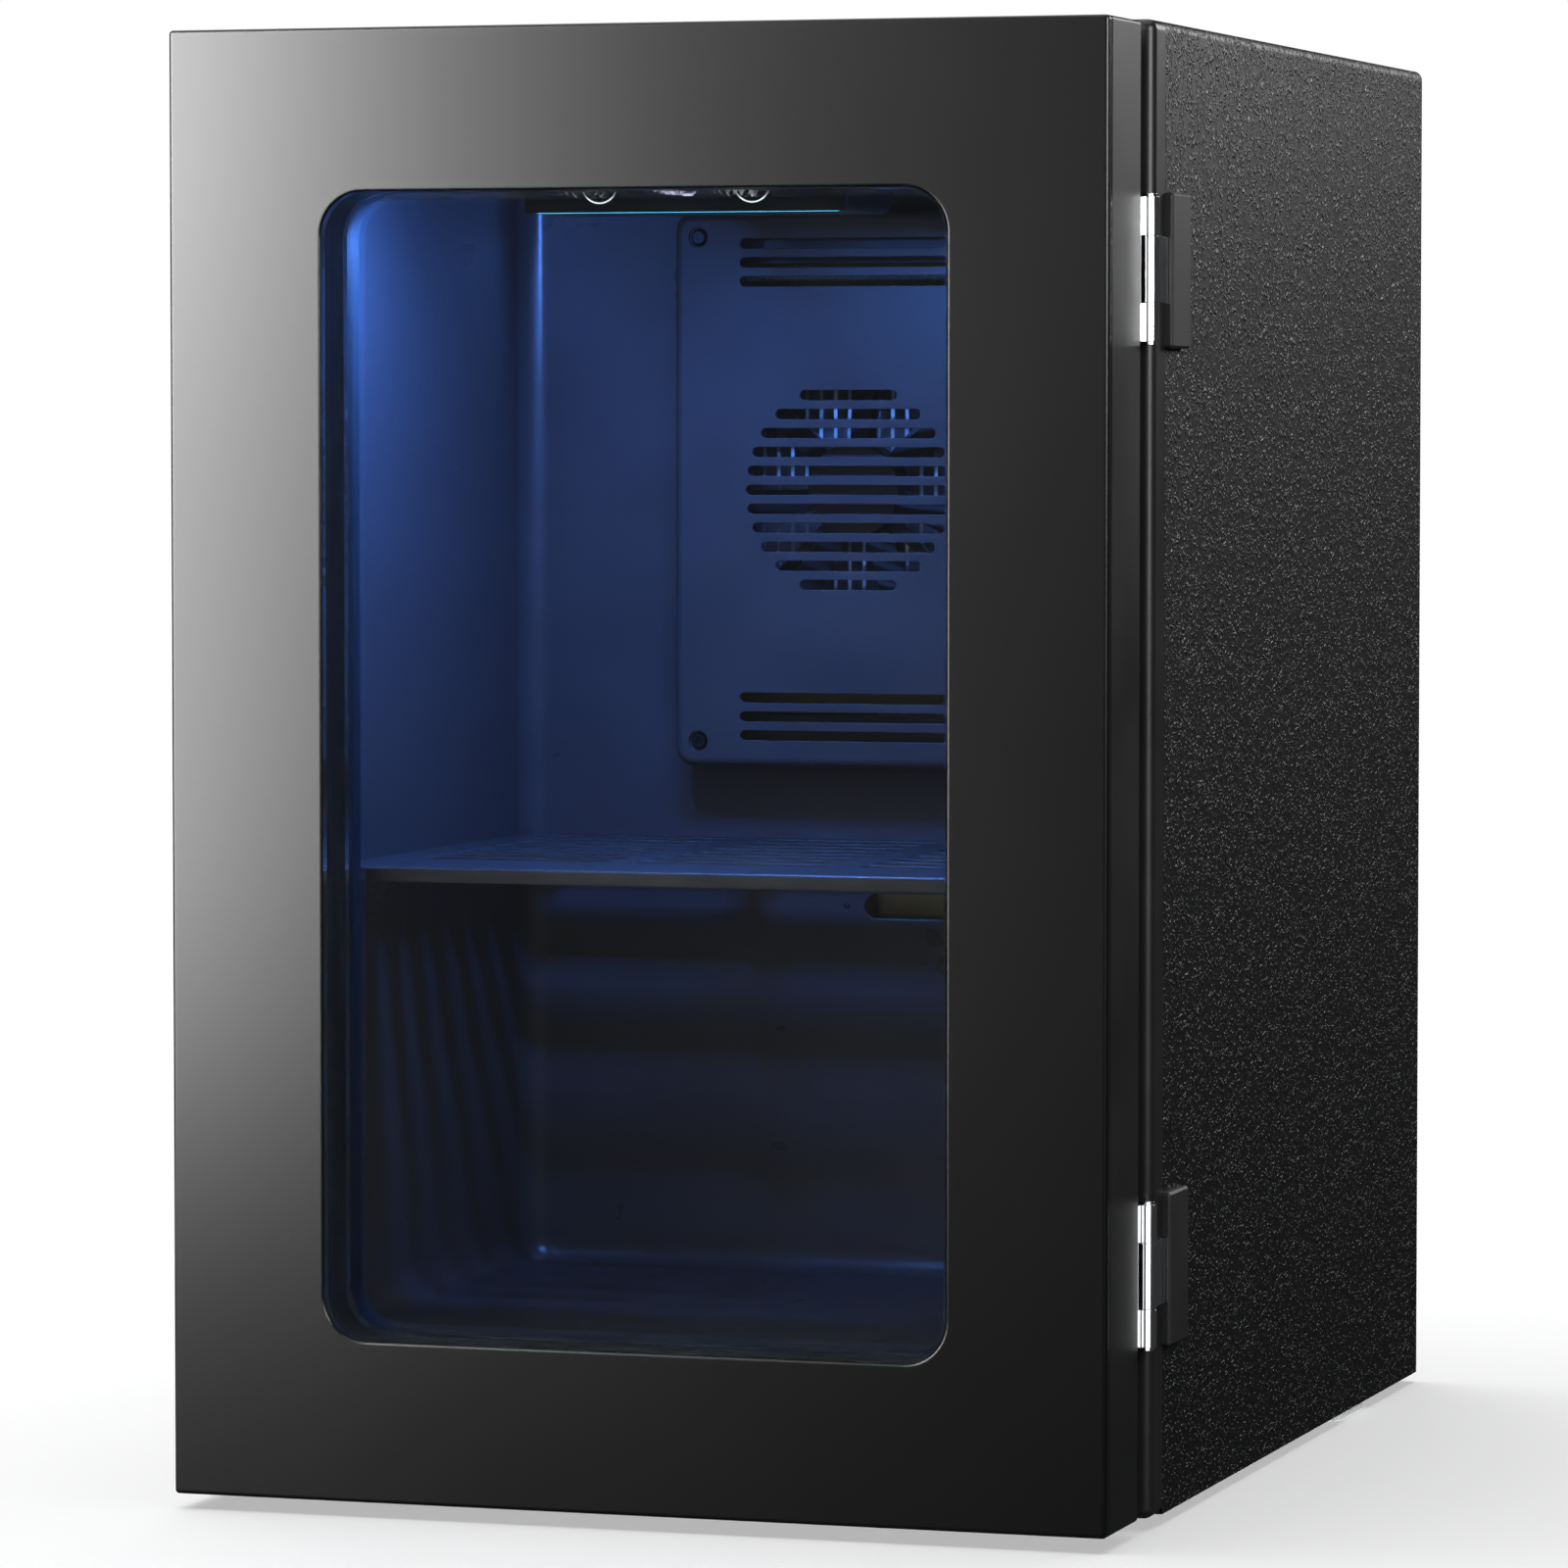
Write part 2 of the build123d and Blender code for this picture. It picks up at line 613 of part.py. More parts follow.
# Hot sink: thicker plate with taller fins, and a clear lane for the clamp screws
hot_pitch = hot_fan_holes / 17
hot_fin_t = 1.2
hot_fin_back = 142.0
hot_base_t = 6.0
with BuildPart() as hot_sink:
    with BuildSketch(rearward(plate_back, z=sink_z)):
        Rectangle(124, 150)
    extrude(amount=hot_base_t)
    with BuildSketch(rearward(plate_back + hot_base_t, z=sink_z)):
        for fin in range(-12, 13):
            if abs(fin) not in (5, 6):
                with Locations((fin * hot_pitch, 0)):
                    Rectangle(hot_fin_t, 150)
    extrude(amount=hot_fin_back - plate_back - hot_base_t)
    with Locations(*clamp_seats):
        Hole(radius=2.1, depth=hot_base_t)
hot_sink.part.label = "hot_sink"
export_step(hot_sink.part, "parts/hot_sink.step")

# Long screws that clamp both sinks on the module
heat_sink_screws = pan_screws(clamp_seats, 1.9, plate_back + hot_base_t - cold_base_back + 3, 3.5, 2.4)
heat_sink_screws.part.label = "heat_sink_screws"
export_step(heat_sink_screws.part, "parts/heat_sink_screws.step")


# Axial fans: a square frame with a motor seat on four struts, and a seven-bladed rotor on a steel shaft
shaft_r = 1.5
fan_gap = 0.8


def fan_frame(back, side, depth, hole_pitch, hub_r):
    """Fan frame, built forwards from its back face."""
    bore_r = side / 2 - 2
    with BuildPart() as frame:
        with BuildSketch(back):
            RectangleRounded(side, side, 4)
            Circle(bore_r, mode=Mode.SUBTRACT)
            with GridLocations(hole_pitch, hole_pitch, 2, 2):
                Circle(2.1, mode=Mode.SUBTRACT)
        extrude(amount=depth)
        with BuildSketch(back):
            Circle(hub_r)
            Rectangle(2 * bore_r + 2, 3.5, rotation=45)
            Rectangle(2 * bore_r + 2, 3.5, rotation=-45)
        extrude(amount=2)
        with BuildSketch(back.offset(2)):
            Circle(3.5)
        extrude(amount=depth - 6)
        with BuildSketch(back.offset(1)):
            Circle(shaft_r + running_gap)
        extrude(amount=depth, mode=Mode.SUBTRACT)
    return frame


def fan_rotor(back, side, depth, hub_r):
    """Rotor that turns in a fan frame of the same side and depth."""
    bore_r = side / 2 - 2
    with BuildPart(mode=Mode.PRIVATE) as blade:
        with BuildSketch(Plane.XZ.offset(-hub_r + 2)):
            Rectangle(1.4, depth - 4.5, rotation=-48)
        with BuildSketch(Plane.XZ.offset(-bore_r)):
            with Locations((3, 0)):
                Rectangle(1.2, depth - 1, rotation=-62)
        loft()
    with BuildPart() as rotor:
        with Locations(back.offset(depth / 2 + 0.5)):
            with PolarLocations(0, 7):
                add(blade.part)
        with BuildSketch(back.offset(2.5)):
            Circle(bore_r - fan_gap)
        extrude(amount=depth - 3, mode=Mode.INTERSECT)
        with BuildSketch(back.offset(2.5)):
            Circle(hub_r)
        extrude(amount=depth - 3)
        with BuildSketch(back.offset(2.5)):
            Circle(4.2)
        extrude(amount=depth - 5, mode=Mode.SUBTRACT)
        with BuildSketch(back.offset(1.5)):
            Circle(shaft_r)
        extrude(amount=depth - 3)
        fillet(rotor.faces().sort_by(Axis.Y)[0].edges(), radius=0.5)
    return rotor


cold_fan_back = cold_fin_front - 0.3
cold_fan_face = upright(cold_fan_back, z=sink_z)
cold_fan_frame = fan_frame(cold_fan_face, cold_fan_side, cold_fan_d, cold_fan_holes, cold_hub_r)
cold_fan_frame.part.label = "cold_fan_frame"
export_step(cold_fan_frame.part, "parts/cold_fan_frame.step")

cold_fan_rotor = fan_rotor(cold_fan_face, cold_fan_side, cold_fan_d, cold_hub_r)
cold_fan_rotor.part.label = "cold_fan_rotor"
export_step(cold_fan_rotor.part, "parts/cold_fan_rotor.step")

hot_fan_back = hot_fin_back + hot_fan_d + 0.3
hot_fan_face = upright(hot_fan_back, z=sink_z)
hot_fan_frame = fan_frame(hot_fan_face, hot_fan_side, hot_fan_d, hot_fan_holes, hot_hub_r)
hot_fan_frame.part.label = "hot_fan_frame"
export_step(hot_fan_frame.part, "parts/hot_fan_frame.step")

hot_fan_rotor = fan_rotor(hot_fan_face, hot_fan_side, hot_fan_d, hot_hub_r)
hot_fan_rotor.part.label = "hot_fan_rotor"
export_step(hot_fan_rotor.part, "parts/hot_fan_rotor.step")

# Fan screws cut their own thread between two fins
cold_fan_seats = []
hot_fan_seats = []
for rise in (-1, 1):
    for side in (-1, 1):
        cold_out = cold_fan_holes / 2
        hot_out = hot_fan_holes / 2
        cold_fan_seats.append(upright(cold_fan_back - cold_fan_d, side * cold_out, sink_z + rise * cold_out))
        hot_fan_seats.append(rearward(hot_fan_back, side * hot_out, sink_z + rise * hot_out))
cold_fan_screws = pan_screws(cold_fan_seats, 1.6, 20, 2.9, 1.6)
cold_fan_screws.part.label = "cold_fan_screws"
export_step(cold_fan_screws.part, "parts/cold_fan_screws.step")

hot_fan_screws = pan_screws(hot_fan_seats, 1.7, 36, 3.2, 1.8)
hot_fan_screws.part.label = "hot_fan_screws"
export_step(hot_fan_screws.part, "parts/hot_fan_screws.step")

# ==== Electrics ====

# Power supply: a vented case on the back plate, with its board inside
supply_w = 140.0
supply_h = 62.0
supply_d = 38.0
board_t = 1.6
supply_x = -45.0
supply_z = 62.0
case_t = 1.2
with BuildPart() as power_supply_case:
    with BuildSketch(rearward(plate_back, supply_x, supply_z)):
        RectangleRounded(supply_w, supply_h, 2)
    extrude(amount=supply_d)
    offset(amount=-case_t, openings=power_supply_case.faces().sort_by(Axis.Y)[0])
    with BuildSketch(rearward(plate_back + supply_d, supply_x, supply_z)):
        with GridLocations(9, 0, 13, 1):
            SlotOverall(42, 3, rotation=90)
    extrude(amount=-2 * case_t, mode=Mode.SUBTRACT)
    with BuildSketch(rearward(plate_back, supply_x, supply_z)):
        with Locations((-supply_w / 2 - 5, 0), (supply_w / 2 + 5, 0)):
            SlotOverall(24, 14, rotation=90)
            Circle(2.1, mode=Mode.SUBTRACT)
        Rectangle(supply_w - 2, supply_h, mode=Mode.SUBTRACT)
    extrude(amount=case_t)
power_supply_case.part.label = "power_supply_case"
export_step(power_supply_case.part, "parts/power_supply_case.step")

supply_face = rearward(plate_back + 6, supply_x, supply_z)
with BuildPart() as power_supply_board:
    with BuildSketch(supply_face):
        Rectangle(supply_w - 6, supply_h - 6)
    extrude(amount=board_t)
    with BuildSketch(supply_face.offset(board_t)):
        with Locations((-8, 4)):
            Rectangle(28, 26)
        with Locations((32, -14)):
            Rectangle(18, 14)
    extrude(amount=20)
    with BuildSketch(supply_face.offset(board_t)):
        with Locations((34, 12), (-34, 14), (-34, -2), (-34, -18)):
            Circle(6)
    extrude(amount=22)
    with BuildSketch(supply_face.offset(board_t)):
        with Locations((12, -20), (-14, -20)):
            Rectangle(18, 3)
        with Locations((-58, 0), (58, 0)):
            Rectangle(10, 34)
    extrude(amount=13)
power_supply_board.part.label = "power_supply_board"
export_step(power_supply_board.part, "parts/power_supply_board.step")

# Control board, on four spacers
control_x = 78.0
control_z = 140.0
spacer_h = 8.0
with BuildPart() as control_board:
    with BuildSketch(rearward(plate_back + spacer_h, control_x, control_z)):
        RectangleRounded(80, 60, 2)
    extrude(amount=board_t)
    with BuildSketch(rearward(plate_back, control_x, control_z)):
        with GridLocations(70, 50, 2, 2):
            Circle(3)
    extrude(amount=spacer_h)
    with BuildSketch(rearward(plate_back + spacer_h + board_t, control_x, control_z)):
        with Locations((-22, 16), (0, 16), (22, 16)):
            Rectangle(14, 8)
        with Locations((-18, -12)):
            Rectangle(20, 16)
    extrude(amount=9)
    with BuildSketch(rearward(plate_back + spacer_h + board_t, control_x, control_z)):
        with Locations((12, -14), (26, -14)):
            Circle(5)
    extrude(amount=12)
control_board.part.label = "control_board"
export_step(control_board.part, "parts/control_board.step")

# Power inlet: two-pin socket that snaps into the rear cover, with its pins moulded in
socket_d = 9.0
inlet_l = 24.0
inlet_out = 1.2
pin_set = 1.5
pin_tail = 4.0
inlet_face = rearward(back_y + inlet_out, inlet_x, inlet_z)
with BuildPart() as power_inlet:
    with BuildSketch(inlet_face):
        RectangleRounded(inlet_cut[0] + 4, inlet_cut[1] + 4, 2)
    extrude(amount=-inlet_out)
    with BuildSketch(inlet_face):
        Rectangle(inlet_cut[0] - 0.2, inlet_cut[1] - 0.2)
    extrude(amount=-inlet_l)
    with BuildSketch(inlet_face):
        SlotOverall(17.2, 8.8)
    extrude(amount=-socket_d, mode=Mode.SUBTRACT)
    with BuildSketch(rearward(back_y + inlet_out - pin_set, inlet_x, inlet_z)):
        with GridLocations(8.6, 0, 2, 1):
            Circle(1.2)
    extrude(amount=-inlet_l - pin_tail)
power_inlet.part.label = "power_inlet"
export_step(power_inlet.part, "parts/power_inlet.step")

# Power switch: a snap-in housing, and a rocker that tips on two pivots inside it
switch_out = 1.2
switch_l = 20.0
rocker_r = 7.6
rocker_w = 9.0
rocker_tip = 8.0
pivot_r = 1.0
pivot_y = back_y - 0.6
switch_face = rearward(back_y + switch_out, switch_x, inlet_z)
with BuildPart() as switch_housing:
    with BuildSketch(switch_face):
        RectangleRounded(switch_cut[0] + 3, switch_cut[1] + 3, 1.5)
    extrude(amount=-switch_out)
    with BuildSketch(switch_face):
        Rectangle(switch_cut[0] - 0.2, switch_cut[1] - 0.2)
    extrude(amount=-switch_l)
    with BuildSketch(switch_face):
        Rectangle(rocker_w + 0.6, 2 * rocker_r + 0.6)
    extrude(amount=-switch_out - 0.6 - rocker_r - 0.6, mode=Mode.SUBTRACT)
    with BuildSketch(sideways(switch_x, pivot_y, inlet_z)):
        Circle(pivot_r + running_gap)
    extrude(amount=rocker_w / 2 + 1, both=True, mode=Mode.SUBTRACT)
    with BuildSketch(rearward(back_y + switch_out - switch_l, switch_x, inlet_z)):
        with Locations((0, -5), (0, 5)):
            Rectangle(4.8, 0.8)
    extrude(amount=-7)
switch_housing.part.label = "switch_housing"
export_step(switch_housing.part, "parts/switch_housing.step")

# The rocker rests with its upper end pressed in; its back is a half round about the pivots
rocker_plane = Plane(
    origin=(switch_x, pivot_y, inlet_z),
    x_dir=Vector(0, 1, 0).rotate(Axis.X, rocker_tip),
    z_dir=(1, 0, 0),
)
ridge = 2.2
with BuildPart() as rocker_switch:
    with BuildSketch(rocker_plane):
        Circle(rocker_r)
        with BuildLine():
            rise = rocker_r * 1.2
            slope = rise * 0.14
            Polyline(
                (ridge, 0), (ridge + slope, rise), (2 * rocker_r, rise), (2 * rocker_r, -rise),
                (ridge + slope, -rise), close=True,
            )
        make_face(mode=Mode.SUBTRACT)
    extrude(amount=rocker_w / 2, both=True)
    with BuildSketch(rocker_plane):
        Circle(pivot_r)
    extrude(amount=rocker_w / 2 + 0.8, both=True)
rocker_switch.part.label = "rocker_switch"
export_step(rocker_switch.part, "parts/rocker_switch.step")

# Wiring in the rear compartment: inlet and switch to the supply, supply to the control board, board to the
# rear fan, and board to the hole through which the front wires run into the foam
cable_r = 2.0
cable_bend = 8.0
supply_right = supply_x + supply_w / 2
supply_top = supply_z + supply_h / 2
pins_end = back_y + inlet_out - pin_set - inlet_l - pin_tail
routes = [
    [(inlet_x, pins_end, inlet_z), (inlet_x, 140, 46), (70, 112, 42), (supply_right, 112, 42)],
    [(switch_x, back_y - 26, inlet_z), (switch_x, 146, 54), (50, 112, 66), (supply_right, 112, 66)],
    [(-20, 112, supply_top), (-20, 112, 128), (4, 114, 166), (40, 114, 182), (56, 104, 182), (56, 104, 160)],
    [(78, 104, 160), (78, 104, 186), (86, 126, 214), (84, 152, 244), (66, 155, 264), (46, 155, 264)],
    [(100, 104, 160), (100, 104, 200), (100, 90, 200)],
]
with BuildPart() as wiring_harness:
    for route in routes:
        with BuildLine():
            path = FilletPolyline(*route, radius=cable_bend)
        with BuildSketch(Plane(origin=path @ 0, z_dir=path % 0)):
            Circle(cable_r)
        sweep()
wiring_harness.part.label = "wiring_harness"
export_step(wiring_harness.part, "parts/wiring_harness.step")

# ==== Hinges ====

door_screw_seats = []
half_hinge = mid_knuckle / 2 + knuckle_gap + end_knuckle
door_leaf_w = 11.4
door_leaf_x = hinge_x - barrel_r + leaf_t - door_leaf_w
for hinge_z in hinge_zs:
    for rise in (-hinge_screw_rise, hinge_screw_rise):
        door_screw_seats.append(rearward(door_back + leaf_t, door_leaf_x + 4.4, hinge_z + rise))


def cabinet_leaf(z):
    """Leaf screwed to the cabinet's side, with the middle knuckle."""
    with BuildPart() as leaf:
        with BuildSketch(Plane.XY.offset(z - mid_knuckle / 2)):
            with Locations((hinge_x, hinge_y)):
                Circle(barrel_r)
                Rectangle(leaf_t, hinge_cover_y - hinge_y, align=LOW_LEFT)
                Circle(pin_r, mode=Mode.SUBTRACT)
        extrude(amount=mid_knuckle)
        with BuildSketch(sideways(hinge_x, hinge_cover_y, z)):
            RectangleRounded(hinge_cover_l - 4, hinge_cover_h - 6, 2)
        extrude(amount=leaf_t)
        with Locations(*cabinet_screw_seats):
            CounterSinkHole(radius=1.5, counter_sink_radius=2.8, depth=leaf_t, counter_sink_angle=90)
    return leaf


def door_leaf(z):
    """Leaf screwed to the back of the door, with the two outer knuckles."""
    with BuildPart() as leaf:
        for low in (z - half_hinge, z + mid_knuckle / 2 + knuckle_gap):
            with BuildSketch(Plane.XY.offset(low)):
                with Locations((hinge_x, hinge_y)):
                    Circle(barrel_r)
                with Locations((hinge_x - barrel_r, door_back)):
                    Rectangle(leaf_t, hinge_y - door_back, align=LOW_LEFT)
                with Locations((hinge_x, hinge_y)):
                    Circle(pin_r + running_gap, mode=Mode.SUBTRACT)
            extrude(amount=end_knuckle)
        with BuildSketch(Plane.XY.offset(z - half_hinge)):
            with Locations((door_leaf_x, door_back)):
                Rectangle(door_leaf_w, leaf_t, align=LOW_LEFT)
        extrude(amount=2 * half_hinge)
        with Locations(*door_screw_seats):
            CounterSinkHole(radius=1.5, counter_sink_radius=2.8, depth=leaf_t, counter_sink_angle=90)
    return leaf


def hinge_cover(z):
    """Black cap that clips over the cabinet leaf, open at its front for the leaf's strip."""
    with BuildPart() as cap:
        with BuildSketch(sideways(hinge_x, hinge_cover_y, z)):
            RectangleRounded(hinge_cover_l, hinge_cover_h, 1)
        extrude(amount=hinge_cover_t)
        chamfer(cap.faces().sort_by(Axis.X)[-1].edges(), 0.7)
        with BuildSketch(sideways(hinge_x, hinge_cover_y, z)):
            RectangleRounded(hinge_cover_l - 3.6, hinge_cover_h - 5.6, 2)
            with Locations((-hinge_cover_l / 2, 0)):
                Rectangle(8, mid_knuckle + 0.4)
        extrude(amount=leaf_t + 0.1, mode=Mode.SUBTRACT)
    return cap


for hinge_name, hinge_z in zip(hinge_names, hinge_zs):
    leaf = cabinet_leaf(hinge_z)
    leaf.part.label = f"{hinge_name}_cabinet_leaf"
    export_step(leaf.part, f"parts/{hinge_name}_cabinet_leaf.step")
    leaf = door_leaf(hinge_z)
    leaf.part.label = f"{hinge_name}_door_leaf"
    export_step(leaf.part, f"parts/{hinge_name}_door_leaf.step")
    cap = hinge_cover(hinge_z)
    cap.part.label = f"{hinge_name}_hinge_cover"
    export_step(cap.part, f"parts/{hinge_name}_hinge_cover.step")

# Pins with a flat head at each end, fast in the middle knuckles
with BuildPart() as hinge_pins:
    for hinge_z in hinge_zs:
        with BuildSketch(Plane.XY.offset(hinge_z - half_hinge - 0.1)):
            with Locations((hinge_x, hinge_y)):
                Circle(pin_r)
        extrude(amount=2 * half_hinge + 0.2)
        for head_z in (hinge_z - half_hinge - 0.9, hinge_z + half_hinge + 0.1):
            with BuildSketch(Plane.XY.offset(head_z)):
                with Locations((hinge_x, hinge_y)):
                    Circle(2.1)
            extrude(amount=0.8)
hinge_pins.part.label = "hinge_pins"
export_step(hinge_pins.part, "parts/hinge_pins.step")

cabinet_hinge_screws = flat_screws(cabinet_screw_seats, hinge_screw_r, leaf_t + skin_t + 1.5, 2.7)
cabinet_hinge_screws.part.label = "cabinet_hinge_screws"
export_step(cabinet_hinge_screws.part, "parts/cabinet_hinge_screws.step")

door_hinge_screws = flat_screws(door_screw_seats, hinge_screw_r, 10, 2.7)
door_hinge_screws.part.label = "door_hinge_screws"
export_step(door_hinge_screws.part, "parts/door_hinge_screws.step")

# Threaded steel plates behind the skin, for the cabinet leaves
with BuildPart() as hinge_nut_plates:
    for hinge_z in hinge_zs:
        with BuildSketch(sideways(hinge_x - skin_t - 1.6, hinge_cover_y + 4, hinge_z)):
            RectangleRounded(14, 38, 2)
        extrude(amount=1.5)
    with Locations(*cabinet_screw_seats):
        Hole(radius=1.5, depth=8)
hinge_nut_plates.part.label = "hinge_nut_plates"
export_step(hinge_nut_plates.part, "parts/hinge_nut_plates.step")

# ==== Door ====

# Front sheet, with a fine rounded edge
with BuildPart() as door_front_panel:
    with BuildSketch(upright(front_y + panel_t, z=mid_z)):
        RectangleRounded(door_w, door_h, door_corner)
        RectangleRounded(window_w, window_h, window_r, mode=Mode.SUBTRACT)
    extrude(amount=panel_t)
    fillet(door_front_panel.faces().sort_by(Axis.Y)[0].outer_wire().edges(), radius=1.0)
    chamfer(door_front_panel.faces().sort_by(Axis.Y)[0].inner_wires()[0].edges(), 0.4)
    chamfer(door_front_panel.faces().sort_by(Axis.Y)[-1].outer_wire().edges(), 0.4)
door_front_panel.part.label = "door_front_panel"
export_step(door_front_panel.part, "parts/door_front_panel.step")

# Moulded body behind it: an open tray with a tunnel for the window
body_front = front_y + panel_t
body_floor = door_back - door_wall
with BuildPart() as door_body:
    with BuildSketch(upright(door_back, z=mid_z)):
        RectangleRounded(door_w, door_h, door_corner)
    extrude(amount=door_t - panel_t)
    fillet(door_body.faces().sort_by(Axis.Y)[0].edges(), radius=0.9)
    fillet(door_body.faces().sort_by(Axis.Y)[-1].edges(), radius=0.9)
    with BuildSketch(upright(body_floor, z=mid_z)):
        Rectangle(door_w - 2 * door_wall, door_h - 2 * door_wall)
        RectangleRounded(
            window_w + 2 * door_wall, window_h + 2 * door_wall, window_r + door_wall, mode=Mode.SUBTRACT
        )
    extrude(amount=body_floor - body_front, mode=Mode.SUBTRACT)
    with BuildSketch(upright(door_back, z=mid_z)):
        RectangleRounded(window_w, window_h, window_r)
    extrude(amount=door_t, mode=Mode.SUBTRACT)
    with Locations(*door_screw_seats):
        Hole(radius=1.55, depth=6)
door_body.part.label = "door_body"
export_step(door_body.part, "parts/door_body.step")

with BuildPart() as door_foam:
    with BuildSketch(upright(body_floor - 0.1, z=mid_z)):
        Rectangle(door_w - 2 * door_wall - 1, door_h - 2 * door_wall - 1)
        RectangleRounded(
            window_w + 2 * door_wall + 1, window_h + 2 * door_wall + 1, window_r + door_wall,
            mode=Mode.SUBTRACT,
        )
    extrude(amount=body_floor - body_front - 0.2)
    with Locations(*door_screw_seats):
        Hole(radius=2, depth=14)
door_foam.part.label = "door_foam"
export_step(door_foam.part, "parts/door_foam.step")


def window_layer(front, thickness, wall=None):
    """One layer of the window: a pane, or a ring if it has a wall."""
    wide = window_w - 2 * fit_gap
    tall = window_h - 2 * fit_gap
    radius = window_r - fit_gap
    with BuildPart() as layer:
        with BuildSketch(upright(front + thickness, z=mid_z)):
            RectangleRounded(wide, tall, radius)
            if wall:
                RectangleRounded(wide - 2 * wall, tall - 2 * wall, radius - wall, mode=Mode.SUBTRACT)
        extrude(amount=thickness)
    return layer


pane_front = front_y + pane_set
outer_glass = window_layer(pane_front, pane_t)
chamfer(outer_glass.faces().sort_by(Axis.Y)[0].edges(), 0.3)
outer_glass.part.label = "outer_glass"
export_step(outer_glass.part, "parts/outer_glass.step")

spacer_front = pane_front + pane_t
front_spacer = window_layer(spacer_front, spacer_t, spacer_wall)
front_spacer.part.label = "front_spacer"
export_step(front_spacer.part, "parts/front_spacer.step")

seal_front = spacer_front + spacer_t
pane_seal = window_layer(seal_front, seal_t, spacer_wall + 0.6)
pane_seal.part.label = "pane_seal"
export_step(pane_seal.part, "parts/pane_seal.step")

inner_front = seal_front + seal_t
inner_glass = window_layer(inner_front, pane_t)
inner_glass.part.label = "inner_glass"
export_step(inner_glass.part, "parts/inner_glass.step")

retainer_front = inner_front + pane_t
rear_retainer = window_layer(retainer_front, door_back - retainer_front, spacer_wall)
rear_retainer.part.label = "rear_retainer"
export_step(rear_retainer.part, "parts/rear_retainer.step")

# Magnetic gasket: a foot pressed on the door, a thin neck, and a hollow head that holds the magnets
gasket_foot = 2.5
gasket_neck = 3.0
gasket_end = cab_front - fit_gap
magnet_w = 8.0
magnet_t = 2.8


def gasket_ring(front, back, width):
    """Ring centred on the gasket's line, from front to back."""
    line = gasket_margin + gasket_w / 2
    grow = 2 * line + width
    with BuildPart() as ring:
        with BuildSketch(upright(back, z=cavity_mid_z)):
            RectangleRounded(cavity_w + grow, cavity_h + grow, cavity_r)
            RectangleRounded(cavity_w + grow - 2 * width, cavity_h + grow - 2 * width, 4, mode=Mode.SUBTRACT)
        extrude(amount=back - front)
    return ring.part


head_front = door_back + gasket_foot + gasket_neck
magnet_front = head_front + (gasket_end - head_front - magnet_t) / 2
with BuildPart() as door_gasket:
    add(gasket_ring(door_back, door_back + gasket_foot, gasket_w))
    add(gasket_ring(door_back + gasket_foot, head_front, gasket_w / 2))
    add(gasket_ring(head_front, gasket_end, gasket_w))
    add(gasket_ring(magnet_front, magnet_front + magnet_t, magnet_w), mode=Mode.SUBTRACT)
door_gasket.part.label = "door_gasket"
export_step(door_gasket.part, "parts/door_gasket.step")

with BuildPart() as gasket_magnets:
    add(gasket_ring(magnet_front + 0.1, magnet_front + magnet_t - 0.1, magnet_w - 0.4))
gasket_magnets.part.label = "gasket_magnets"
export_step(gasket_magnets.part, "parts/gasket_magnets.step")
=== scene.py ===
import math

import bpy
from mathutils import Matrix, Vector


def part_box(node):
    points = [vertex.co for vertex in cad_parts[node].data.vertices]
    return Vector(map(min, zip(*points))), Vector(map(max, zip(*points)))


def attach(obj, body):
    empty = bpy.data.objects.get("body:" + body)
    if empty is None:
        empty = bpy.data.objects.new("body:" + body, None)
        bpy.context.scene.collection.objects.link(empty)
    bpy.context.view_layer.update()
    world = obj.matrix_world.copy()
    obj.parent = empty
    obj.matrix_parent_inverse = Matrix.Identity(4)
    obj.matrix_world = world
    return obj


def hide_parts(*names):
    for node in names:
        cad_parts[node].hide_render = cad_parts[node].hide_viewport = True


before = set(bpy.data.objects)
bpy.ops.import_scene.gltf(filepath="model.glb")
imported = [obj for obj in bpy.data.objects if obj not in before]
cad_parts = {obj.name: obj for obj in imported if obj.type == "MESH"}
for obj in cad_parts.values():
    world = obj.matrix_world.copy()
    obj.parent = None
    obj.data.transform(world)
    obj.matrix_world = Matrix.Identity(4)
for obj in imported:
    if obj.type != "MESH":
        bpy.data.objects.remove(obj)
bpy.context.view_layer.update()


# ---- Studio ----
# A pale table under a wide overhead light. Two softboxes at the front left wash the black
# door, one behind lights the grained side, and one at the front right draws the edges there.

def set_up(name, data, place, target):
    """Puts a light or the camera in the scene, turned to look at a point."""
    thing = bpy.data.objects.new(name, data)
    bpy.context.scene.collection.objects.link(thing)
    thing.location = place
    thing.rotation_mode = "QUATERNION"
    thing.rotation_quaternion = (Vector(target) - thing.location).to_track_quat("-Z", "Y")
    return thing


def softbox(name, place, target, width, height, watts, colour=(1.0, 1.0, 1.0)):
    """A rectangular soft light that lights the object but isn't seen itself."""
    lamp = bpy.data.lights.new(name, "AREA")
    lamp.shape = "RECTANGLE"
    lamp.size = width
    lamp.size_y = height
    lamp.energy = watts
    lamp.color = colour
    box = set_up(name, lamp, place, target)
    box.visible_camera = False
    box.visible_transmission = False
    return box


camera_place = Vector((0.68516, -2.16709, 0.32514))
camera_looks = Vector((-0.30748523, 0.95015554, -0.05154881))
camera = set_up("camera", bpy.data.cameras.new("camera"), camera_place, camera_place + camera_looks)
camera.data.lens = 166.12
camera.data.sensor_width = 36.0
camera.data.clip_end = 50.0
bpy.context.scene.camera = camera
bpy.context.scene.view_settings.view_transform = "Standard"

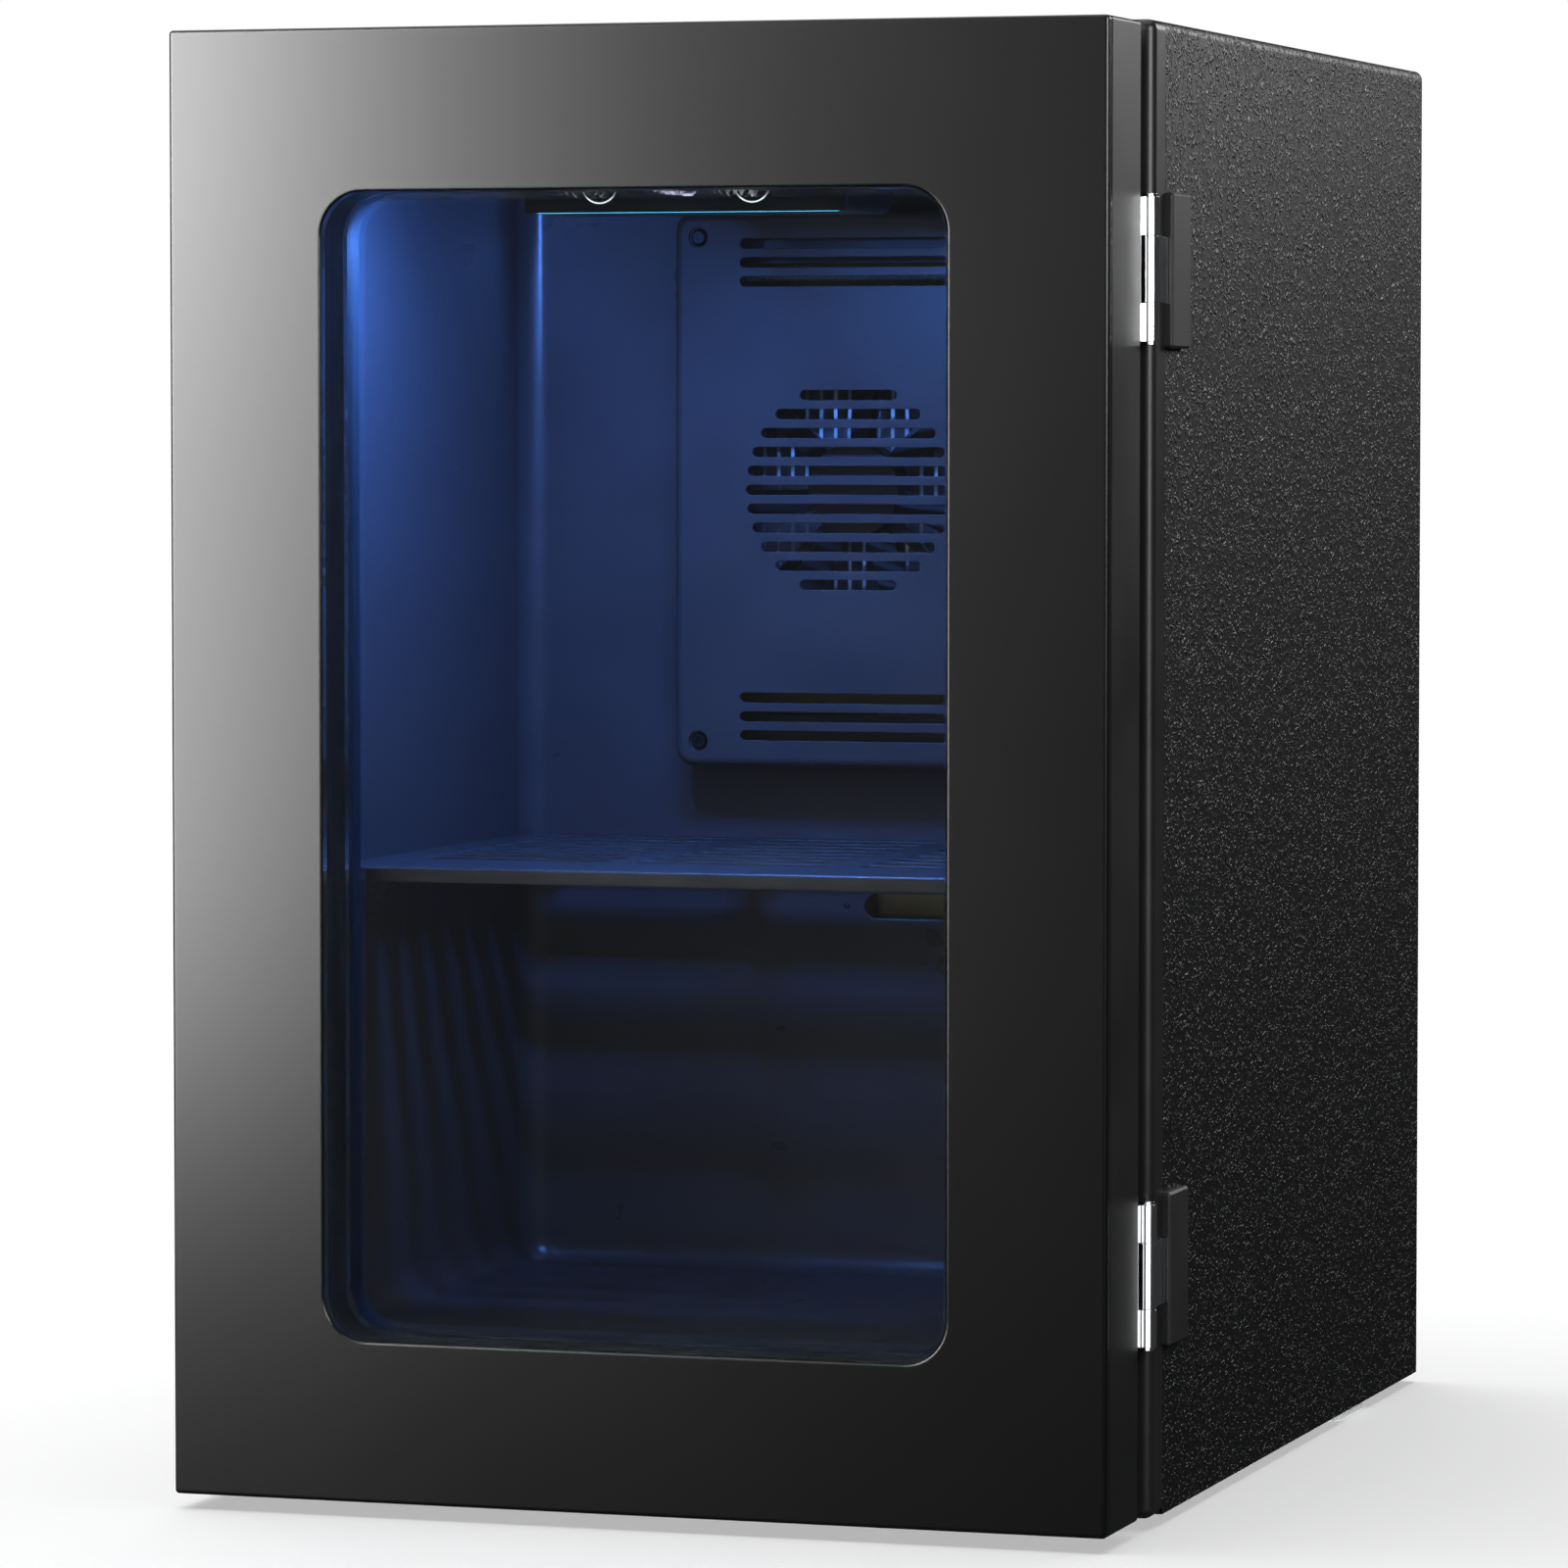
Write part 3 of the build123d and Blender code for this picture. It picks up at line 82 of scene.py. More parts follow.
world = bpy.data.worlds.new("studio")
bpy.context.scene.world = world
world.use_nodes = True
sky = world.node_tree
paper = sky.nodes["Background"]
paper.inputs["Color"].default_value = (1.0, 1.0, 1.0, 1.0)
room = sky.nodes.new("ShaderNodeBackground")
room.inputs["Color"].default_value = (0.9, 0.95, 1.0, 1.0)
room.inputs["Strength"].default_value = 0.03
ray = sky.nodes.new("ShaderNodeLightPath")
straight = sky.nodes.new("ShaderNodeMath")
straight.operation = "MAXIMUM"
scattered = sky.nodes.new("ShaderNodeMath")
scattered.operation = "ADD"
seen = sky.nodes.new("ShaderNodeMath")
seen.operation = "SUBTRACT"
seen.use_clamp = True
backdrop = sky.nodes.new("ShaderNodeMixShader")
sky.links.new(ray.outputs["Is Camera Ray"], straight.inputs[0])
sky.links.new(ray.outputs["Is Transmission Ray"], straight.inputs[1])
sky.links.new(ray.outputs["Diffuse Depth"], scattered.inputs[0])
sky.links.new(ray.outputs["Glossy Depth"], scattered.inputs[1])
sky.links.new(straight.outputs[0], seen.inputs[0])
sky.links.new(scattered.outputs[0], seen.inputs[1])
sky.links.new(seen.outputs[0], backdrop.inputs["Fac"])
sky.links.new(room.outputs[0], backdrop.inputs[1])
sky.links.new(paper.outputs[0], backdrop.inputs[2])
sky.links.new(backdrop.outputs[0], sky.nodes["World Output"].inputs["Surface"])

overhead = set_up("overhead", bpy.data.lights.new("overhead", "SUN"), (-0.75, 0.45, 3.0), (0.0, 0.0, 0.0))
overhead.data.energy = 1.9
overhead.data.angle = math.radians(80.0)

door_wash = softbox("door_wash", (-0.84, -1.25, 0.81), (-0.12, -0.19, 0.81), 0.54, 0.90, 40.0)
side_wash = softbox("side_wash", (0.86, 1.4, 0.86), (0.14, 0.0, 0.35), 0.5, 0.5, 8.6)
edge_strip = softbox("edge_strip", (1.25, -1.15, 0.75), (0.14, -0.16, 0.30), 0.7, 0.8, 28.0)
door_wash_low = softbox("door_wash_low", (-0.84, -1.25, 0.19), (-0.12, -0.19, 0.19), 0.54, 0.34, 10.0)

bpy.ops.object.select_all(action="DESELECT")
bpy.ops.mesh.primitive_circle_add(vertices=96, radius=14.0, fill_type="NGON")
floor = bpy.context.object
floor.name = "floor"
floor.visible_glossy = False
floor.visible_transmission = False
table_white = bpy.data.materials.new("table_white")
table_white.use_nodes = True
table_paint = table_white.node_tree.nodes["Principled BSDF"]
table_paint.inputs["Base Color"].default_value = (0.93, 0.93, 0.93, 1.0)
table_paint.inputs["Specular IOR Level"].default_value = 0.0
floor.data.materials.append(table_white)


def left_out(name, *things):
    """A collection of things that a light doesn't reach."""
    unlit_things = bpy.data.collections.new(name)
    for thing in things:
        unlit_things.objects.link(thing)
    for member in unlit_things.collection_objects:
        member.light_linking.link_state = "EXCLUDE"
    return unlit_things


# The softboxes leave the table out, so that only the overhead light draws its shadow.
off_table = left_out("off_table", floor)
for box in (door_wash, side_wash, door_wash_low):
    box.light_linking.receiver_collection = off_table

# The edge strip leaves out the grained skin as well, or the flat top would glare from behind.
edge_strip.light_linking.receiver_collection = left_out("off_skin", floor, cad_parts["outer_wrap"])

# A second light without a shadow reaches the table alone and keeps the first one's shadow soft.
table_only = bpy.data.collections.new("table_only")
table_only.objects.link(floor)
table_fill = set_up("table_fill", bpy.data.lights.new("table_fill", "SUN"), (0.0, 0.0, 3.0), (0.0, 0.0, 0.0))
table_fill.data.energy = 1.55
table_fill.data.use_shadow = False
table_fill.light_linking.receiver_collection = table_only


# ---- Front frame ----
# The moulded surround that closes the front of the cabinet. Black ABS, injection moulded
# with a smooth satin face, and clipped over the front edge of the sheet-metal wrap.

def finish(name, colour, roughness, metallic=0.0, specular=0.5):
    """A new material with the plain values of its shader set."""
    material = bpy.data.materials.new(name)
    material.use_nodes = True
    shader = material.node_tree.nodes["Principled BSDF"]
    shader.inputs["Base Color"].default_value = (*colour, 1.0)
    shader.inputs["Roughness"].default_value = roughness
    shader.inputs["Metallic"].default_value = metallic
    shader.inputs["Specular IOR Level"].default_value = specular
    return material


def shader_of(material):
    """The material's main shader."""
    return material.node_tree.nodes["Principled BSDF"]


def node(material, kind, sockets=None, **settings):
    """Adds a node; numbers and colours set its sockets, and outputs of other nodes are linked."""
    made = material.node_tree.nodes.new(kind)
    for name, value in settings.items():
        setattr(made, name, value)
    for socket, value in (sockets or {}).items():
        if isinstance(value, bpy.types.NodeSocket):
            material.node_tree.links.new(value, made.inputs[socket])
        else:
            made.inputs[socket].default_value = value
    return made


def over(material, stretch=(1.0, 1.0, 1.0)):
    """The piece's own coordinates in metres, stretched by a Mapping node."""
    place = node(material, "ShaderNodeTexCoord").outputs["Object"]
    return node(material, "ShaderNodeMapping", {"Vector": place, "Scale": stretch}).outputs[0]


def noise(material, vector, per_metre, detail=3.0, roughness=0.55, distortion=0.0):
    """Soft random mottling, with so many spots to the metre."""
    sockets = {"Vector": vector, "Scale": per_metre, "Detail": detail, "Roughness": roughness,
               "Distortion": distortion}
    return node(material, "ShaderNodeTexNoise", sockets).outputs["Fac"]


def spread(material, value, low, high, to_low, to_high, smooth=False):
    """A value from one range to another."""
    sockets = {"Value": value, "From Min": low, "From Max": high, "To Min": to_low, "To Max": to_high}
    return node(material, "ShaderNodeMapRange", sockets,
                interpolation_type="SMOOTHSTEP" if smooth else "LINEAR").outputs["Result"]


def shade(material, value, dark, light):
    """Colour that runs from dark to light with a value from 0 to 1."""
    mix = node(material, "ShaderNodeMix", data_type="RGBA")
    first_colour, second_colour, mixed_colour = mix.inputs[6], mix.inputs[7], mix.outputs[2]
    material.node_tree.links.new(value, mix.inputs["Factor"])
    first_colour.default_value = (*dark, 1.0)
    second_colour.default_value = (*light, 1.0)
    material.node_tree.links.new(mixed_colour, shader_of(material).inputs["Base Color"])


def polish(material, value, low, high):
    """Roughness that varies between two values."""
    rough = spread(material, value, 0.3, 0.7, low, high)
    material.node_tree.links.new(rough, shader_of(material).inputs["Roughness"])


def relief(material, height, depth, under=None):
    """Surface relief of a depth in metres, over a rounded edge or another relief."""
    sockets = {"Height": height, "Distance": depth, "Strength": 1.0}
    if under is not None:
        sockets["Normal"] = under
    bump = node(material, "ShaderNodeBump", sockets).outputs["Normal"]
    material.node_tree.links.new(bump, shader_of(material).inputs["Normal"])
    return bump


def eased(material, radius):
    """Edges broken to a small radius, as a mould or a press leaves them."""
    edge = node(material, "ShaderNodeBevel", {"Radius": radius}, samples=6).outputs["Normal"]
    material.node_tree.links.new(edge, shader_of(material).inputs["Normal"])
    return edge


def dress(material, *names):
    """Gives CAD nodes their finish."""
    for name in names:
        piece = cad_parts[name]
        if not piece.material_slots:
            piece.data.materials.append(material)
        for place in piece.material_slots:
            place.material = material


def moulded(name, colour, roughness, texture_depth, per_metre=900.0, edge=0.0004):
    """Moulded plastic: eased edges, faint flow marks in the colour and a fine even texture."""
    material = finish(name, colour, roughness, specular=0.4)
    place = over(material)
    flow = noise(material, place, 22.0, detail=2.0)
    shade(material, flow, [0.82 * c for c in colour], [1.2 * c for c in colour])
    polish(material, flow, roughness - 0.04, roughness + 0.05)
    relief(material, noise(material, place, per_metre, detail=2.0), texture_depth,
           under=eased(material, edge))
    return material


dress(moulded("frame_plastic", (0.006, 0.006, 0.0065), 0.34, 0.000006, edge=0.0007), "front_frame")


# ---- Outer wrap and base panel ----
# Side and top skin: one sheet of steel folded to a U and laminated with black film that is
# embossed with a leather grain. The floor pan under it is plain black sheet.

grained_skin = finish("grained_skin", (0.007, 0.007, 0.007), 0.42, specular=0.35)
skin_place = over(grained_skin)
worms = noise(grained_skin, skin_place, 330.0, detail=0.8, roughness=0.4, distortion=0.9)
from_middle = node(grained_skin, "ShaderNodeMath", {0: worms, 1: 0.5}, operation="SUBTRACT").outputs[0]
ridge = node(grained_skin, "ShaderNodeMath", {0: from_middle}, operation="ABSOLUTE").outputs[0]
grain = spread(grained_skin, ridge, 0.0, 0.09, 1.0, 0.0, smooth=True)
pores = noise(grained_skin, skin_place, 1600.0, detail=2.0)
shade(grained_skin, grain, (0.002, 0.002, 0.002), (0.0035, 0.0035, 0.0035))
polish(grained_skin, pores, 0.38, 0.50)
skin_edge = eased(grained_skin, 0.0008)
skin_pores = relief(grained_skin, pores, 0.00002, under=skin_edge)
relief(grained_skin, grain, 0.00034, under=skin_pores)
dress(grained_skin, "outer_wrap")


def coated_sheet(name, colour, roughness, per_metre, depth):
    """Powder-coated steel: a fine pebble in the coat and slightly cloudy gloss."""
    material = finish(name, colour, roughness, specular=0.4)
    place = over(material)
    pebble = noise(material, place, per_metre, detail=1.5)
    cloud = noise(material, place, 14.0, detail=3.0)
    shade(material, cloud, [0.8 * c for c in colour], [1.25 * c for c in colour])
    polish(material, cloud, roughness - 0.05, roughness + 0.06)
    relief(material, pebble, depth, under=eased(material, 0.0004))
    return material


dress(coated_sheet("dark_steel", (0.010, 0.010, 0.010), 0.55, 1100.0, 0.00003), "base_panel")


# ---- Rear cover ----
# Pressed steel back with its air vents and the grille over the fan, powder coated black with
# a fine texture and held all round by cross-head screws with a black oxide finish.

dress(coated_sheet("rear_sheet", (0.010, 0.010, 0.010), 0.50, 900.0, 0.00004), "rear_cover")


def turned_metal(name, colour, roughness):
    """Machined or plated metal: fine tool marks and a slightly uneven polish."""
    material = finish(name, colour, roughness, metallic=1.0)
    place = over(material)
    marks = noise(material, over(material, (1.0, 1.0, 8.0)), 700.0, detail=3.0)
    stains = noise(material, place, 60.0, detail=4.0)
    shade(material, stains, [0.75 * c for c in colour], [min(1.0, 1.1 * c) for c in colour])
    polish(material, stains, max(0.05, roughness - 0.08), roughness + 0.12)
    relief(material, marks, 0.000008, under=eased(material, 0.00015))
    return material


dress(turned_metal("black_oxide", (0.06, 0.06, 0.062), 0.38), "rear_cover_screws", "duct_cover_screws")


# ---- Feet ----
# Four soft pads, moulded in pale grey silicone and glued under the corners of the base.

silicone = finish("foot_silicone", (0.62, 0.64, 0.66), 0.55)
shader_of(silicone).inputs["Subsurface Weight"].default_value = 0.15
shader_of(silicone).inputs["Subsurface Scale"].default_value = 0.002
silicone_dust = noise(silicone, over(silicone), 240.0, detail=4.0)
shade(silicone, silicone_dust, (0.50, 0.52, 0.54), (0.68, 0.70, 0.72))
polish(silicone, silicone_dust, 0.48, 0.66)
relief(silicone, noise(silicone, over(silicone), 2500.0), 0.00001, under=eased(silicone, 0.0005))
dress(silicone, *[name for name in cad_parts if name.startswith("foot_")])


# ---- Inner liner ----
# The cold room is one vacuum-formed tray of dark grey plastic with rounded corners and two
# moulded ledges. It drops into the front frame, and the foam behind makes it stiff.

liner = finish("liner_plastic", (0.034, 0.035, 0.040), 0.30)
liner_place = over(liner)
drawn = noise(liner, over(liner, (1.0, 0.25, 1.0)), 30.0, detail=3.0)
shade(liner, drawn, (0.028, 0.029, 0.033), (0.041, 0.042, 0.048))
polish(liner, drawn, 0.27, 0.36)
relief(liner, noise(liner, liner_place, 500.0, detail=1.0), 0.000003, under=eased(liner, 0.0006))
dress(liner, "inner_liner")


# ---- Insulation ----
# Rigid polyurethane foam that is blown in between wrap and liner and in the door, dull
# amber with a skin of small closed cells, and a zinc-plated plate behind it.

foam = finish("foam", (0.20, 0.17, 0.10), 0.85)
cells = node(foam, "ShaderNodeTexVoronoi", {"Vector": over(foam), "Scale": 900.0}).outputs["Distance"]
foam_age = noise(foam, over(foam), 18.0, detail=4.0)
shade(foam, foam_age, (0.13, 0.11, 0.07), (0.26, 0.23, 0.15))
relief(foam, cells, 0.0004)
dress(foam, "insulation_foam", "door_foam")

zinc = turned_metal("zinc_plate", (0.60, 0.62, 0.64), 0.34)
dress(zinc, "foam_back_plate", "strike_strip", "hinge_nut_plates", "power_supply_case")


# ---- Air duct cover ----
# The box on the back wall that hides the cold fan: a moulding in the liner's own plastic
# with slots for the cold air, held by four small screws, and the bead of the thermostat.

dress(moulded("duct_plastic", (0.032, 0.033, 0.037), 0.34, 0.000012, 700.0), "duct_cover")
dress(moulded("sensor_bead", (0.02, 0.02, 0.02), 0.30, 0.000004), "temperature_sensor")


# ---- Shelf ----
# One loose plate of black ABS that rests on the liner's ledges, with a fine spark-eroded
# texture on its top so that cans slide on it without marks.

dress(moulded("shelf_plastic", (0.026, 0.026, 0.029), 0.40, 0.00003, 1300.0, edge=0.0005), "shelf")


# ---- Control panel ----
# A moulded housing screwed to the ceiling of the cold room. Its front is a gloss black lens
# with printed touch keys, a board with its lamps behind, and a frosted light strip below.

dress(moulded("housing_plastic", (0.014, 0.014, 0.015), 0.36, 0.00001), "control_panel_housing")

lens = finish("panel_gloss", (0.007, 0.007, 0.009), 0.08)
shader_of(lens).inputs["Coat Weight"].default_value = 0.6
shader_of(lens).inputs["Coat Roughness"].default_value = 0.04
lens_wipe = noise(lens, over(lens, (1.0, 1.0, 3.0)), 90.0, detail=4.0)
shade(lens, lens_wipe, (0.005, 0.005, 0.007), (0.010, 0.010, 0.012))
polish(lens, lens_wipe, 0.05, 0.14)
relief(lens, noise(lens, over(lens), 300.0), 0.000002, under=eased(lens, 0.0002))
dress(lens, "control_panel_lens")


def circuit_board(name, mask):
    """Solder mask over copper: tracks show as slightly raised lines, and the mask is glossy."""
    material = finish(name, mask, 0.28)
    place = over(material)
    tracks = node(material, "ShaderNodeTexBrick", {"Vector": place, "Scale": 260.0, "Mortar Size": 0.03})
    tone = noise(material, place, 400.0, detail=2.0)
    shade(material, tone, [0.6 * c for c in mask], [1.5 * c for c in mask])
    relief(material, tracks.outputs["Fac"], 0.00005)
    return material


dress(circuit_board("circuit_board", (0.02, 0.16, 0.07)),
      "display_board", "control_board", "power_supply_board")

light_strip = finish("light_strip", (0.35, 0.80, 0.95), 0.45)
frosting = noise(light_strip, over(light_strip, (1.0, 0.0, 0.0)), 180.0)
strip_dullness = spread(light_strip, frosting, 0.2, 0.8, 0.85, 1.1)
light_strip.node_tree.links.new(strip_dullness, shader_of(light_strip).inputs["Roughness"])
shader_of(light_strip).inputs["Emission Color"].default_value = (0.03, 0.55, 0.85, 1.0)
shader_of(light_strip).inputs["Emission Strength"].default_value = 3.0
dress(light_strip, "led_diffuser")

# The lamps light the cold room in blue: a row that shines down, and one at each end that
# reaches the side walls. A weak fill behind the window keeps the lower room from going black.
led_blue = (0.09, 0.26, 1.0)
strip_low, strip_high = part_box("led_diffuser")
strip_mid = (strip_low + strip_high) / 2
strip_l = strip_high.x - strip_low.x
row_y = strip_low.y + 0.016
row_z = strip_low.z - 0.0006
row_w = 0.03
softbox("strip_light", (strip_mid.x, row_y, row_z), (strip_mid.x, row_y, 0.0), strip_l, row_w, 1.3, led_blue)

end_lamp_size = 0.006
end_lamp_z = strip_low.z - 0.003
wall_spot_y = strip_mid.y + 0.01
wall_spot_z = 0.345
for side, end, watts in (("left", strip_low.x, 0.7), ("right", strip_high.x, 0.30)):
    softbox("strip_end_" + side, (1.2 * end, strip_mid.y, end_lamp_z), (2.4 * end, wall_spot_y, wall_spot_z),
            end_lamp_size, end_lamp_size, watts, led_blue)

fill_y = strip_low.y - 0.008
fill_z = 0.22
fill = softbox("window_fill", (0.0, fill_y, fill_z), (0.0, 0.0, fill_z), 0.19, 0.33, 0.16)
fill.visible_glossy = False


# ---- Printed keys and display ----
# White ink on the lens: an up key and a down key in rings with a short lead line, and the
# degree unit. Between them two seven-segment figures shine through the lens.

lens_low, lens_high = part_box("control_panel_lens")
print_face = lens_low.y
print_t = 0.00006
print_z = 0.3918
ink_line = 0.0004


def face_front(piece, x, z):
    """Stands a flat shape that was drawn in the XY plane up on the lens, as a thin print."""
    bpy.ops.object.mode_set(mode="EDIT")
    bpy.ops.mesh.select_all(action="SELECT")
    bpy.ops.mesh.extrude_region_move(TRANSFORM_OT_translate={"value": (0.0, 0.0, print_t)})
    bpy.ops.mesh.select_all(action="SELECT")
    bpy.ops.mesh.normals_make_consistent(inside=False)
    bpy.ops.object.mode_set(mode="OBJECT")
    piece.rotation_euler = (math.radians(90.0), 0.0, 0.0)
    piece.location = (x, print_face, z)
    bpy.ops.object.transform_apply(location=True, rotation=True, scale=True)


def turned(piece, angle):
    """Turns a flat shape on the spot and applies the turn."""
    piece.rotation_euler = (0.0, 0.0, angle)
    bpy.ops.object.transform_apply(location=False, rotation=True, scale=False)


def flat_disc(name, radius, sides):
    """A flat disc. With three sides it is an arrow head that points up."""
    bpy.ops.object.select_all(action="DESELECT")
    bpy.ops.mesh.primitive_circle_add(vertices=sides, radius=radius, fill_type="NGON")
    bpy.context.object.name = name
    return bpy.context.object


def flat_ring(name, radius, width, sides=64):
    """A flat ring: a disc whose face is inset, with the inset face taken out."""
    ring = flat_disc(name, radius, sides)
    bpy.ops.object.mode_set(mode="EDIT")
    bpy.ops.mesh.select_all(action="SELECT")
    bpy.ops.mesh.inset(thickness=width, depth=0.0)
    bpy.ops.mesh.delete(type="FACE")
    bpy.ops.object.mode_set(mode="OBJECT")
    return ring


def flat_bar(name, length, width, pointed_ends=False, upright=False):
    """A flat bar along X, or along Y if upright. A display segment has its ends cut to points."""
    bpy.ops.object.select_all(action="DESELECT")
    bpy.ops.mesh.primitive_plane_add(size=1.0)
    bar = bpy.context.object
    bar.name = name
    bar.scale = (length, width, 1.0)
    bpy.ops.object.transform_apply(location=False, rotation=False, scale=True)
    if pointed_ends:
        bpy.ops.object.mode_set(mode="EDIT")
        bpy.ops.mesh.select_all(action="SELECT")
        bpy.ops.mesh.bevel(offset=0.45 * width, offset_type="OFFSET", affect="VERTICES")
        bpy.ops.object.mode_set(mode="OBJECT")
    if upright:
        turned(bar, math.radians(90.0))
    return bar


def printed(piece, material):
    """Inks a mark and fixes it to the cabinet."""
    piece.data.materials.append(material)
    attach(piece, "cabinet")


white_ink = finish("white_ink", (0.86, 0.87, 0.88), 0.5)
ink_body = noise(white_ink, over(white_ink), 6000.0, detail=2.0)
shade(white_ink, ink_body, (0.78, 0.79, 0.80), (0.92, 0.93, 0.94))
relief(white_ink, ink_body, 0.00001)
shader_of(white_ink).inputs["Emission Color"].default_value = (0.9, 0.95, 1.0, 1.0)
shader_of(white_ink).inputs["Emission Strength"].default_value = 0.9

key_r = 0.00575
arrow_r = 0.0041
up_x = -0.0262
down_x = 0.0212
for key, x, angle in (("up", up_x, 0.0), ("down", down_x, math.radians(-180.0))):
    ring = flat_ring(key + "_key_ring", key_r, ink_line)
    face_front(ring, x, print_z)
    arrow = flat_disc(key + "_key_arrow", arrow_r, 3)
    turned(arrow, angle)
    face_front(arrow, x, print_z)
    for mark in (ring, arrow):
        printed(mark, white_ink)

lead_length = 0.0132
lead_w = 0.00045
lead_line = flat_bar("key_lead_line", lead_length, lead_w)
face_front(lead_line, down_x + key_r + lead_length / 2, print_z)
printed(lead_line, white_ink)

digit_w = 0.0040
digit_h = 0.0072
segment_t = 0.0009
digit_gap = 0.0068
display_x = -0.0020
display_z = print_z + 0.0004
unlit = finish("unlit_segment", (0.020, 0.016, 0.024), 0.35)
shade(unlit, noise(unlit, over(unlit), 3000.0), (0.016, 0.012, 0.020), (0.026, 0.020, 0.030))
lit = finish("lit_segment", (0.85, 0.80, 1.0), 0.4)
shade(lit, noise(lit, over(lit), 3000.0), (0.80, 0.75, 1.0), (0.92, 0.90, 1.0))
shader_of(lit).inputs["Emission Color"].default_value = (0.80, 0.74, 1.0, 1.0)
shader_of(lit).inputs["Emission Strength"].default_value = 2.2

# Segment letters as display makers use them: a on top, then clockwise to f, and g across.
segments = {
    "a": (0.0, 0.5, False), "b": (0.5, 0.25, True), "c": (0.5, -0.25, True), "d": (0.0, -0.5, False),
    "e": (-0.5, -0.25, True), "f": (-0.5, 0.25, True), "g": (0.0, 0.0, False),
}
shown = {"tens": "bcfg", "ones": "abcdef"}
for figure, side in (("tens", -0.5), ("ones", 0.5)):
    for letter, (across, up, upright) in segments.items():
        length = digit_h / 2 if upright else digit_w
        bar = flat_bar(f"figure_{figure}_{letter}", 0.88 * length, segment_t,
                       pointed_ends=True, upright=upright)
        face_front(bar, display_x + side * digit_gap + across * digit_w, display_z + up * digit_h)
        printed(bar, lit if letter in shown[figure] else unlit)

degree_r = 0.0007
degree_line = 0.00022
degree_x = 0.0102
degree = flat_ring("degree_ring", degree_r, degree_line, sides=24)
face_front(degree, degree_x, print_z + 0.0030)
printed(degree, white_ink)

# Each stroke of the unit letter: its place across and up, its length, and if it is upright.
unit_z = print_z + 0.0015
unit_strokes = {
    "stem": (0.0118, -0.0006, 0.0036, True), "top": (0.0127, 0.0010, 0.0020, False),
    "middle": (0.0125, -0.0006, 0.0015, False), "foot": (0.0118, -0.0023, 0.0012, False),
}
for stroke, (x, up, length, upright) in unit_strokes.items():
    bar = flat_bar("unit_" + stroke, length, ink_line, upright=upright)
    face_front(bar, x, unit_z + up)
    printed(bar, white_ink)


# ---- Cooling unit ----
# A ceramic thermoelectric tile is clamped between an aluminium block with its finned cold
# sink and the large hot sink behind. Each sink has its own axial fan on four screws.

aluminium = finish("sink_aluminium", (0.74, 0.75, 0.76), 0.36, metallic=1.0)
drawn_lines = noise(aluminium, over(aluminium, (60.0, 60.0, 1.0)), 30.0, detail=3.0)
shade(aluminium, drawn_lines, (0.62, 0.63, 0.64), (0.80, 0.81, 0.82))
polish(aluminium, drawn_lines, 0.28, 0.45)
relief(aluminium, drawn_lines, 0.00001, under=eased(aluminium, 0.0002))
dress(aluminium, "cold_sink", "cold_block", "hot_sink")

ceramic = finish("ceramic_tile", (0.88, 0.87, 0.84), 0.45)
fired = noise(ceramic, over(ceramic), 1500.0, detail=4.0)
shade(ceramic, fired, (0.80, 0.79, 0.75), (0.92, 0.91, 0.88))
relief(ceramic, fired, 0.00001)
dress(ceramic, "thermoelectric_module")


def rubbery(name, colour, roughness):
    """Moulded or extruded rubber: dull, with a fine dusty grain."""
    material = finish(name, colour, roughness, specular=0.3)
    place = over(material)
    dust = noise(material, place, 90.0, detail=5.0)
    shade(material, dust, [0.7 * c for c in colour], [1.5 * c for c in colour])
    polish(material, dust, roughness - 0.06, roughness + 0.08)
    relief(material, noise(material, place, 1800.0), 0.00001, under=eased(material, 0.0003))
    return material


seal_rubber = rubbery("seal_rubber", (0.014, 0.014, 0.014), 0.62)
dress(seal_rubber, "module_gasket")
dress(moulded("fan_plastic", (0.018, 0.018, 0.019), 0.42, 0.00001), "cold_fan_frame", "hot_fan_frame",
      "cold_fan_rotor", "hot_fan_rotor")
screw_steel = turned_metal("screw_steel", (0.62, 0.62, 0.60), 0.28)
dress(screw_steel, "heat_sink_screws", "cold_fan_screws", "hot_fan_screws", "cabinet_hinge_screws",
      "door_hinge_screws")


# ---- Mains side ----
# Low on the back are the inlet with its two pins and the rocker switch in its own housing,
# both black nylon, wired to the supply and the controller by a sheathed loom.

dress(moulded("inlet_nylon", (0.016, 0.016, 0.016), 0.45, 0.00002), "power_inlet", "switch_housing")
dress(moulded("rocker_nylon", (0.012, 0.012, 0.012), 0.26, 0.000004, edge=0.0006), "rocker_switch")
dress(rubbery("wire_sheath", (0.02, 0.02, 0.02), 0.5), "wiring_harness")


# ---- Hinges ----
# Two butt hinges of bright chromed steel: three knuckles on a riveted pin, one leaf behind
# the frame and one in the door's back edge, each under a chamfered plastic cover.

chrome = finish("hinge_chrome", (0.93, 0.94, 0.95), 0.14, metallic=1.0)
rubbed = noise(chrome, over(chrome, (1.0, 1.0, 0.15)), 900.0, detail=3.0)
shade(chrome, rubbed, (0.88, 0.89, 0.90), (0.96, 0.97, 0.98))
polish(chrome, rubbed, 0.11, 0.18)
relief(chrome, rubbed, 0.000003, under=eased(chrome, 0.00012))
chromed = ("hinge_pins", "upper_cabinet_leaf", "lower_cabinet_leaf", "upper_door_leaf", "lower_door_leaf")
dress(chrome, *chromed)

